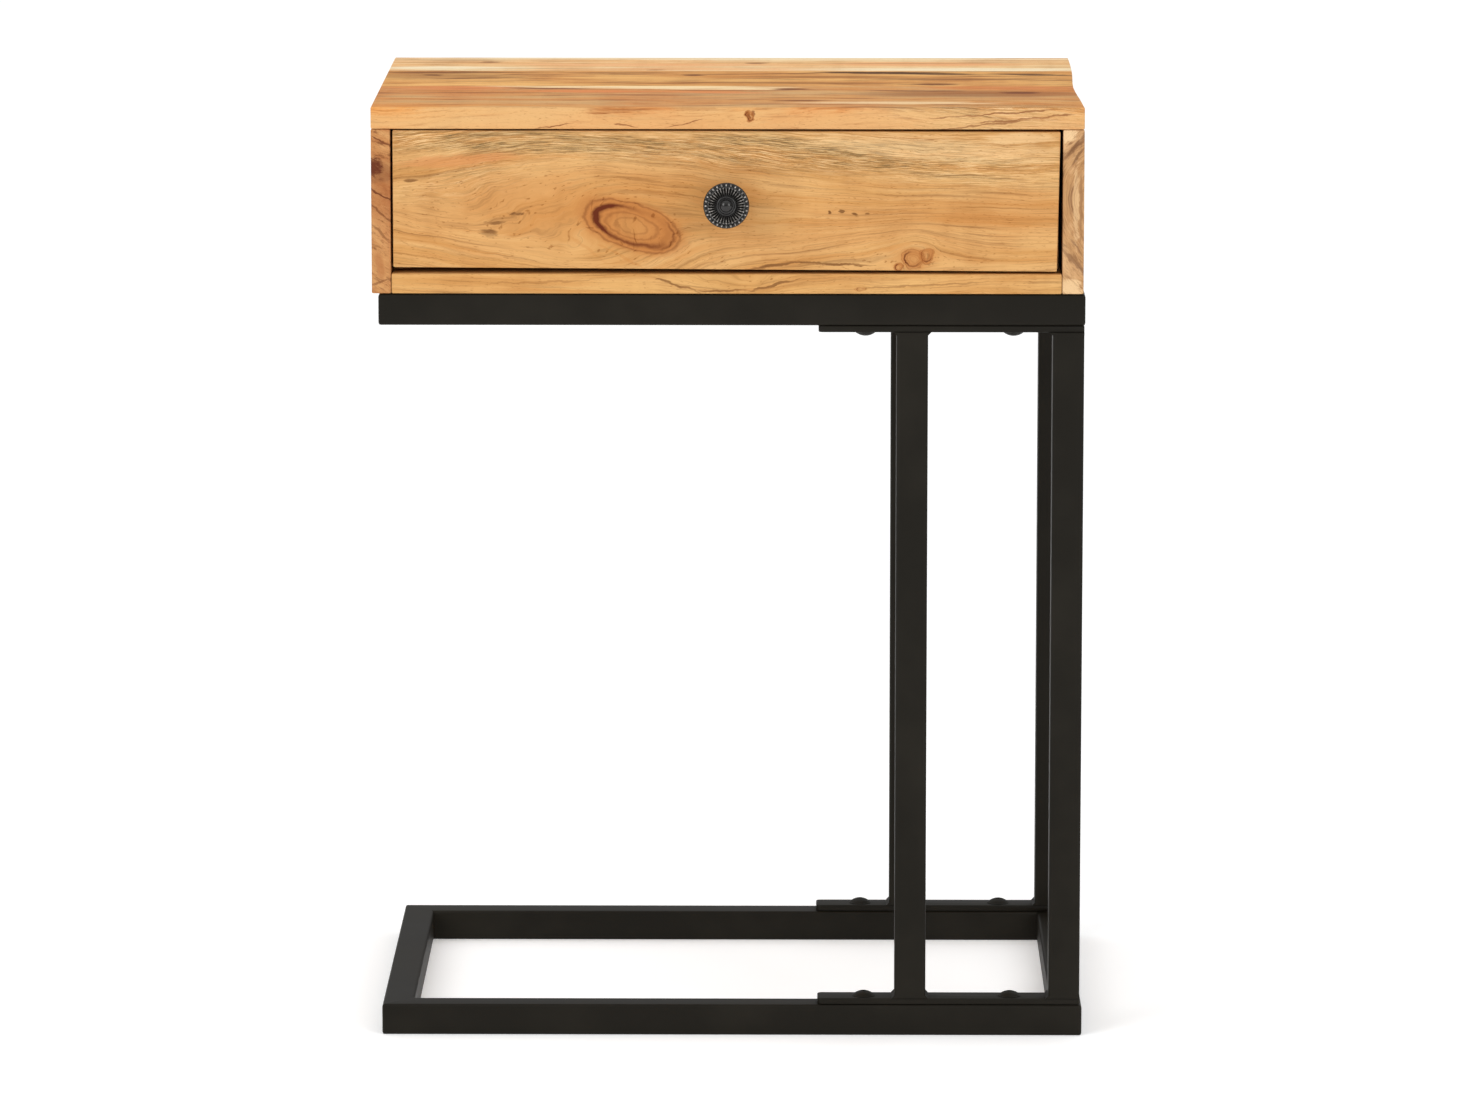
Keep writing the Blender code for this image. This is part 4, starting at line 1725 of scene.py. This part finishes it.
@dataclass
class Knob:
    """The cast knob: a beaded rim, a ring of flutes and a domed boss, on a turned stem.

    Attributes:
        stem: The outline from its foot to under its face, out from the axis and up, in millimetres.
        face_drop: How far the face's edge lies below the top of the boss.
        rim: The outline over its rim and flutes, in from the rim and up from the face, in
            millimetres.
        ring: The outline of the ring round its boss, out from the axis and up from the face, in
            millimetres.
        boss: The boss's radius.
        boss_foot: How far the boss's foot stands above the face.
        boss_steps: How many stretches the boss's dome has.
        steps_a_flute: How many sides of the round each flute takes.
        flutes: How many flutes there are.
        flute_depth: How far a ridge stands over the middle of its flute.
        flute_sink: How far the flutes lie below the face, as a share of that.
        fluted: How far in from the rim the flutes start and end.
        fluted_drop: How far below the top of the boss the flutes can reach.
        beads: How many beads there are.
        bead_radius: A bead's radius.
        bead_inset: How far in from the rim the beads' centres are.
        bead_cuts: How finely a bead is rounded.
        sharp: The turn past which the casting has a crisp edge, in degrees.
    """

    stem: tuple[Spot, ...] = (
        (8.3, 0.3),
        (8.5, 0.7),
        (8.5, 1.6),
        (7.6, 2.3),
        (6.2, 4.2),
        (5.6, 7.0),
        (5.8, 10.5),
        (7.4, 13.4),
        (10.6, 15.6),
    )
    face_drop: float = 3.4 * MM
    rim: tuple[Spot, ...] = (
        (0.9, -3.2),
        (0.2, -2.6),
        (0.0, -1.9),
        (0.0, -0.9),
        (0.3, -0.2),
        (0.9, 0.0),
        (2.6, -0.15),
        (3.2, -0.5),
        (3.6, -0.3),
        (4.0, 0.2),
        (4.6, 0.5),
        (5.8, 0.75),
        (7.2, 0.75),
        (8.2, 0.5),
    )
    ring: tuple[Spot, ...] = ((6.3, 0.5), (6.0, 0.9), (5.6, 1.0), (5.2, 0.8), (4.9, 0.4), (4.5, 0.4))
    boss: float = 4.1 * MM
    boss_foot: float = 0.5 * MM
    boss_steps: int = 8
    steps_a_flute: int = 6
    flutes: int = 36
    flute_depth: float = 0.50 * MM
    flute_sink: float = 0.4
    fluted: Spot = (3.4 * MM, 7.6 * MM)
    fluted_drop: float = 4.2 * MM
    beads: int = 28
    bead_radius: float = 1.28 * MM
    bead_inset: float = 1.80 * MM
    bead_cuts: int = 2
    sharp: float = 50.0

    def profile(self, radius: float, length: float) -> list[Spot]:
        """Draws the knob's outline from its foot up its stem and over its face.

        Args:
            radius: The knob's radius.
            length: How far it stands out.

        Returns:
            Its (radius, height) points.
        """
        face = length - self.face_drop
        stem = [(out * MM, up * MM) for out, up in self.stem]
        rim = [(radius - inset * MM, face + up * MM) for inset, up in self.rim]
        ring = [(out * MM, face + up * MM) for out, up in self.ring]
        foot = face + self.boss_foot
        dome = []
        for i in range(self.boss_steps):
            angle = math.pi / 2 * i / self.boss_steps
            dome.append((self.boss * math.cos(angle), foot + (length - foot) * math.sin(angle)))
        return [*stem, *rim, *ring, *dome, (0.0, length)]

    def build(self) -> None:
        """Builds and dresses the knob and its screw."""
        low, high = corners("drawer_knob")
        radius = (high.x - low.x) / 2
        length = high.y - low.y
        piece = turned("knob", self.profile(radius, length), self.flutes * self.steps_a_flute)
        self.flute(piece, radius, length)
        piece = join([piece, *self.bead_ring(radius, length)])
        foot = Matrix.Translation(((low.x + high.x) / 2, high.y, (low.z + high.z) / 2))
        piece.data.transform(foot @ Matrix.Rotation(math.pi / 2, 4, "X"))
        smooth(piece, self.sharp)
        iron = CastIron(middle("drawer_knob"), self.flutes, self.beads)
        hand_over(piece, DRAWER_BODY, Slot.IRON, iron.build(), "drawer_knob")
        zinc = ZincPlate().build()
        for name in ("knob_screw", "knob_washer"):
            dress_node(name, zinc)

    def flute(self, piece: bpy.types.Object, radius: float, length: float) -> None:
        """Raises a ridge and sinks a hollow for each flute.

        Args:
            piece: The turned knob.
            radius: Its radius.
            length: How far it stands out.
        """
        outer, inner = (radius - inset for inset in self.fluted)
        lowest = length - self.fluted_drop
        half = self.steps_a_flute // 2

        def on_step(vertex: bmesh.types.BMVert, wanted: int) -> bool:
            """Tells whether a vertex of the fluted ring is this many steps off a ridge.

            Args:
                vertex: The vertex.
                wanted: How many steps.

            Returns:
                Whether it is.
            """
            if not inner < vertex.co.xy.length < outer or vertex.co.z < lowest:
                return False
            turn = math.atan2(vertex.co.y, vertex.co.x) / (2 * math.pi)
            step = round(turn * self.flutes * self.steps_a_flute) % self.steps_a_flute
            return min(step, self.steps_a_flute - step) == wanted

        with editing(piece):
            for wanted in range(half + 1):
                pick(piece, "VERT", lambda v, wanted=wanted: on_step(v, wanted))
                shift(z=self.flute_depth * (math.cos(math.pi * wanted / half) - self.flute_sink))

    def bead_ring(self, radius: float, length: float) -> list[bpy.types.Object]:
        """Sets the beads round the rim, each a small ball half sunk in it.

        Args:
            radius: The knob's radius.
            length: How far it stands out.

        Returns:
            The beads.
        """
        deselect_all()
        place = (radius - self.bead_inset, 0.0, length - self.face_drop)
        bpy.ops.mesh.primitive_ico_sphere_add(
            subdivisions=self.bead_cuts, radius=self.bead_radius, location=place
        )
        bead = bpy.context.active_object
        bead.name = bead.data.name = "bead"
        bpy.ops.object.transform_apply(location=True, rotation=True, scale=True)
        beads = [bead]
        for i in range(1, self.beads):
            turn = Matrix.Rotation(2 * math.pi * i / self.beads, 4, "Z")
            beads.append(copy_of(bead, f"bead_{i}", turn))
        return beads


# ---------------------------------------------------------------------------------------------
# Steel frame
# ---------------------------------------------------------------------------------------------


@dataclass
class Tube:
    """A square tube's outside."""

    radius: float = 2.0 * MM
    segments: int = 5

    def bar(
        self, name: str, low: Sequence[float], high: Sequence[float], axis: Axis
    ) -> bpy.types.Object:
        """Builds a bar with its four long edges rounded.

        Args:
            name: The piece's name.
            low: Its lowest corner.
            high: Its highest corner.
            axis: The way it runs.

        Returns:
            The bar.
        """
        piece = block(name, low, high)
        with editing(piece):
            pick(piece, "EDGE", lambda e: runs_along(e, axis))
            round_off(self.radius, self.segments)
        return piece


@dataclass
class Ring:
    """A ring of four rails, mitred, welded and ground smooth at the corners."""

    name: str
    material: bpy.types.Material
    tube: Tube = field(default_factory=Tube)
    ground: float = 0.7 * MM

    def build(self) -> None:
        """Builds and dresses the four rails."""
        nodes = {side: f"{self.name}_{side}_rail" for side in ("front", "back", "left", "right")}
        low = Vector((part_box(nodes["left"])[0][0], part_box(nodes["front"])[0][1], 0.0))
        high = Vector((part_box(nodes["right"])[1][0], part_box(nodes["back"])[1][1], 0.0))
        ways = {
            "front": Vector((0.0, -1.0, 0.0)),
            "back": Vector((0.0, 1.0, 0.0)),
            "left": Vector((-1.0, 0.0, 0.0)),
            "right": Vector((1.0, 0.0, 0.0)),
        }
        for side, node in nodes.items():
            is_long = side in ("front", "back")
            axis = Axis.X if is_long else Axis.Y
            rail_low, rail_high = corners(node)
            rail_low[axis.value] = low[axis.value]
            rail_high[axis.value] = high[axis.value]
            rail = self.tube.bar(f"{self.name}_ring_{side}", rail_low, rail_high, axis)
            ends = ("left", "right") if is_long else ("front", "back")
            for end in ends:
                out = ways[side] + ways[end]
                corner = Vector(high[i] if out[i] > 0 else low[i] for i in range(3))
                self.mitre(rail, corner, ways[side], ways[end])
            smooth(rail)
            hand_over(rail, TABLE_BODY, Slot.POWDER_COAT, self.material, node)

    def mitre(self, rail: bpy.types.Object, corner: Vector, out: Vector, end: Vector) -> None:
        """Cuts a rail's end at 45 degrees, and grinds the sharp corner off.

        Args:
            rail: The rail.
            corner: The ring's outer corner at that end.
            out: The way out of the ring from the rail.
            end: The way along the rail to that end.
        """
        tip = (out + end).normalized()
        with editing(rail):
            for place, way in ((corner, end - out), (corner - tip * self.ground, tip)):
                bpy.ops.mesh.select_all(action="SELECT")
                plane = {"plane_co": place, "plane_no": way.normalized()}
                bpy.ops.mesh.bisect(**plane, use_fill=True, clear_outer=True)


@dataclass
class Uprights:
    """The posts, the plates they are welded to, and the bolts through the plates.

    Attributes:
        material: The powder coat.
        tube: The posts' tube.
        plate_corner: The radius of the plates' free corners.
        plate_edge: The radius of their edges.
        plate_steps: The steps round a corner, and round an edge.
        plate_sharp: The turn past which an edge of a plate is broken, in degrees.
        plate_end: How near its free end an edge counts as that end's.
        weld_leg: How far a weld reaches along the plate and up the post.
        weld_inset: How far a weld stays inside the tube's two faces.
        weld_bite: How far a weld's toe stands off the post.
        weld_cuts: How many cuts a weld has along its run.
        weld_sharp: The turn past which a weld has a crisp edge, in degrees.
        bolt_sides: How many sides a bolt's round has.
        bolt_sharp: The turn past which a bolt has a crisp edge, in degrees.
        dome_share: How much of the head's dome is left over its rim.
        dome_steps: How many stretches the dome has.
        rim: The head's rim, in from its radius and up from its seat.
        shank: The shank's radius.
        chamfer: The chamfer at its end.
        socket_sides: How many sides the socket has.
        socket_radius: Its radius.
        socket_depth: Its depth.
    """

    material: bpy.types.Material
    tube: Tube = field(default_factory=Tube)
    plate_corner: float = 3.0 * MM
    plate_edge: float = 0.5 * MM
    plate_steps: tuple[int, int] = (6, 2)
    plate_sharp: float = 60.0
    plate_end: float = 1.0 * MM
    weld_leg: float = 1.8 * MM
    weld_inset: float = 0.25 * MM
    weld_bite: float = 0.1 * MM
    weld_cuts: int = 14
    weld_sharp: float = 60.0
    bolt_sides: int = 40
    bolt_sharp: float = 40.0
    dome_share: float = 0.93
    dome_steps: int = 9
    rim: tuple[Spot, ...] = ((0.3 * MM, 0.0), (0.0, 0.15 * MM), (0.0, 0.35 * MM))
    shank: float = 3.0 * MM
    chamfer: float = 0.5 * MM
    socket_sides: int = 6
    socket_radius: float = 2.0 * MM
    socket_depth: float = 1.9 * MM

    def build(self) -> None:
        """Builds and dresses the uprights."""
        for row in ("front", "back"):
            for place in ("middle", "end"):
                self.post(row, place)
            for level in ("bottom", "top"):
                self.plate(f"{row}_{level}_plate")
        self.bolts()

    def post(self, row: str, place: str) -> None:
        """Builds and dresses a post, with a weld at each end.

        Args:
            row: The row it stands in, front or back.
            place: Its place in the row, middle or end.
        """
        node = f"{row}_{place}_post"
        low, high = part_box(node)
        piece = smooth(self.tube.bar(f"{node}_tube", low, high, Axis.Z))
        hand_over(piece, TABLE_BODY, Slot.POWDER_COAT, self.material, node)
        for level in ("bottom", "top"):
            weld = self.weld(f"weld_{row}_{place}_{level}", node, f"{row}_{level}_plate", level)
            hand_over(weld, TABLE_BODY, Slot.POWDER_COAT, self.material)

    def weld(self, name: str, post: str, plate: str, level: str) -> bpy.types.Object:
        """Builds a weld round a post's end, ground flush where the post overhangs the plate.

        Args:
            name: The piece's name.
            post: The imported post.
            plate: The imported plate.
            level: The post's end, bottom or top.

        Returns:
            The weld.
        """
        low, high = corners(post)
        plate_low, plate_high = corners(plate)
        is_low = level == "bottom"
        root = plate_high.z if is_low else plate_low.z
        toe = root + (self.weld_leg if is_low else -self.weld_leg)
        right = min(high.x + self.weld_leg, plate_high.x)
        near = Vector((low.x - self.weld_leg, low.y + self.weld_inset, min(root, toe)))
        far = Vector((right, high.y - self.weld_inset, max(root, toe)))
        piece = block(name, near, far)

        def at_toe(vertex: bmesh.types.BMVert) -> bool:
            """Tells whether a vertex is on the weld's far side from the plate."""
            return abs(vertex.co.z - toe) < abs(vertex.co.z - root)

        with editing(piece):
            pick(piece, "EDGE", lambda e: runs_along(e, Axis.Y))
            bpy.ops.mesh.subdivide(number_cuts=self.weld_cuts)
            pick(piece, "VERT", lambda v: at_toe(v) and v.co.x < low.x)
            shift(x=self.weld_leg - self.weld_bite)
            pick(piece, "VERT", lambda v: at_toe(v) and v.co.x > high.x)
            shift(x=high.x - right + self.weld_bite)
        return smooth(piece, self.weld_sharp)

    def plate(self, node: str) -> None:
        """Builds a flat bar with the corners of its free end rounded and its edges broken.

        Args:
            node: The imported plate.
        """
        low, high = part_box(node)
        piece = block(f"{node}_bar", low, high)
        end = low[0] + self.plate_end
        corner_steps, edge_steps = self.plate_steps
        with editing(piece):
            pick(piece, "EDGE", lambda e: runs_along(e, Axis.Z) and e.verts[0].co.x < end)
            round_off(self.plate_corner, corner_steps)
            pick(piece, "EDGE", lambda e: turns(e, self.plate_sharp))
            round_off(self.plate_edge, edge_steps)
        smooth(piece)
        hand_over(piece, TABLE_BODY, Slot.POWDER_COAT, self.material, node)

    def bolt(self, head: float, height: float, length: float) -> bpy.types.Object:
        """Builds a button-head bolt, its seat at z = 0 and its shank below, with a hexagon socket.

        Args:
            head: The head's radius.
            height: The head's height.
            length: The shank's length.

        Returns:
            The bolt.
        """
        sphere = (head**2 + height**2) / (2 * height)
        opening = math.degrees(math.asin(head / sphere)) * self.dome_share
        dome = arc(sphere, (0.0, height - sphere), 90.0 - opening, 90.0, self.dome_steps)[:-1]
        foot = [(self.shank - self.chamfer, -length), (self.shank, self.chamfer - length)]
        rim = [(head - inset, up) for inset, up in self.rim]
        outline = [*foot, (self.shank, 0.0), *rim, *dome, (0.0, height)]
        piece = turned("bolt", outline, self.bolt_sides)
        deselect_all()
        bpy.ops.mesh.primitive_cylinder_add(
            vertices=self.socket_sides,
            radius=self.socket_radius,
            depth=2 * self.socket_depth,
            location=(0, 0, height),
        )
        cut_with(piece, bpy.context.active_object)
        return smooth(piece, self.bolt_sharp)

    def bolts(self) -> None:
        """Builds the eight bolts: heads up on the base, and heads down under the top ring."""
        pattern = None
        for row in ("front", "back"):
            for level in ("bottom", "top"):
                plate_low, plate_high = corners(f"{row}_{level}_plate")
                is_low = level == "bottom"
                seat = plate_high.z if is_low else plate_low.z
                turn = Matrix.Rotation(0.0 if is_low else math.pi, 4, "X")
                for place in ("inner", "outer"):
                    node = f"bolt_{row}_{level}_{place}"
                    low, high = corners(node)
                    height = high.z - seat if is_low else seat - low.z
                    if pattern is None:
                        pattern = self.bolt((high.x - low.x) / 2, height, high.z - low.z - height)
                    spot = Matrix.Translation(((low.x + high.x) / 2, (low.y + high.y) / 2, seat))
                    bolt = copy_of(pattern, f"{node}_button_head", spot @ turn)
                    hand_over(bolt, TABLE_BODY, Slot.POWDER_COAT, self.material, node)
        bpy.data.objects.remove(pattern)


@dataclass
class Fastenings:
    """The hidden nuts, and the tabs and screws that hold the case."""

    steel: bpy.types.Material
    zinc: bpy.types.Material

    def build(self) -> None:
        """Dresses each in its finish."""
        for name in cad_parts:
            if name.startswith(("nut_", "tab_screw_")):
                dress_node(name, self.zinc)
            elif name.startswith("tab_"):
                dress_node(name, self.steel)


# ---------------------------------------------------------------------------------------------
# Studio
# ---------------------------------------------------------------------------------------------


def point_at(thing: bpy.types.Object, place: Point, target: Point) -> None:
    """Puts a light or camera in its place, and points it at its target.

    Args:
        thing: The light or camera.
        place: Where it stands.
        target: What it points at.
    """
    bpy.context.scene.collection.objects.link(thing)
    thing.location = place
    way = Vector(target) - Vector(place)
    thing.rotation_euler = way.to_track_quat("-Z", "Y").to_euler()


@dataclass
class Softbox:
    """A large soft light.

    Attributes:
        name: The light's name.
        place: Where it stands.
        size: Its width and height.
        power: Its power, in watts.
        target: What it points at.
    """

    name: str
    place: Point
    size: tuple[float, float]
    power: float
    target: Point = (0.0, 0.0, 0.3)

    def build(self) -> None:
        """Adds the light, aimed at its target."""
        lamp = bpy.data.lights.new(self.name, "AREA")
        lamp.shape = "RECTANGLE"
        lamp.size, lamp.size_y = self.size
        lamp.energy = self.power
        point_at(bpy.data.objects.new(self.name, lamp), self.place, self.target)


@dataclass
class Studio:
    """The floor, the soft lights and the camera.

    Attributes:
        white: The colour of the light and of the surround.
        floor_colour: The floor's colour.
        floor_roughness: The floor's roughness.
        floor_size: The floor's width.
        floor_glow: How far the floor is lifted towards white.
        horizon: The surround's light from the side.
        zenith: The surround's light from above.
        backdrop: How bright the surround looks.
        eye: The camera's place.
        aim: What the camera points at.
        lens: The camera's focal length, in millimetres.
        lights: The soft lights.
    """

    white: Colour = (1.0, 1.0, 1.0)
    floor_colour: Colour = (0.93, 0.93, 0.93)
    floor_roughness: float = 0.85
    floor_size: float = 60.0
    floor_glow: float = 0.22
    horizon: float = 0.18
    zenith: float = 1.27
    backdrop: float = 1.0
    eye: Point = (0.0413, -4.9105, 1.1309)
    aim: Point = (-0.0008, 0.0, 0.2947)
    lens: float = 187.5
    lights: tuple[Softbox, ...] = (
        Softbox("left_softbox", (-2.3, -2.6, 1.7), (1.6, 1.8), 39.5),
        Softbox("right_softbox", (2.2, -2.8, 1.5), (1.6, 1.8), 32.5),
    )

    def build(self) -> None:
        """Builds the studio."""
        self.floor()
        self.daylight()
        for light in self.lights:
            light.build()
        self.camera()
        bpy.context.scene.view_settings.view_transform = "Standard"

    def floor(self) -> None:
        """Lays a plain pale floor."""
        deselect_all()
        bpy.ops.mesh.primitive_plane_add(size=self.floor_size)
        floor = bpy.context.active_object
        floor.name = floor.data.name = "studio_floor"
        glow = {"Emission_Color": self.white, "Emission_Strength": self.floor_glow}
        paint = {"Base_Color": self.floor_colour, "Roughness": self.floor_roughness}
        floor.data.materials.append(Coating("pale_floor").surface(**paint, **glow))

    def daylight(self) -> None:
        """Sets a white surround, brighter overhead than at the horizon, and even where it shows."""
        world = bpy.data.worlds.new("studio")
        bpy.context.scene.world = world
        world.use_nodes = True
        g = Graph(world.node_tree)
        height = g.split(g.node("ShaderNodeTexCoord"))[2]
        span = {"Value": height, "To Min": self.horizon, "To Max": self.zenith}
        rise = g.node("ShaderNodeMapRange", inputs=span)
        seen = g.node("ShaderNodeLightPath")
        background = g.tree.nodes["Background"]
        g.feed(background.inputs["Color"], self.white)
        g.feed(background.inputs["Strength"], rise * (1 - seen) + self.backdrop * seen)

    def camera(self) -> None:
        """Sets the camera a little above the table and nearly square to its front."""
        data = bpy.data.cameras.new("camera")
        data.lens = self.lens
        camera = bpy.data.objects.new("camera", data)
        point_at(camera, self.eye, self.aim)
        bpy.context.scene.camera = camera


def main() -> None:
    """Builds every sub-assembly in order."""
    logging.basicConfig(level=logging.INFO, format="%(name)s: %(message)s")
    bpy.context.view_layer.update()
    Studio().build()
    Case().build()
    Drawer().build()
    Knob().build()
    coat = PowderCoat().build()
    for name in ("base", "top"):
        Ring(name, coat).build()
    Uprights(coat).build()
    Fastenings(coat, ZincPlate().build()).build()


if __name__ == "__main__":
    main()
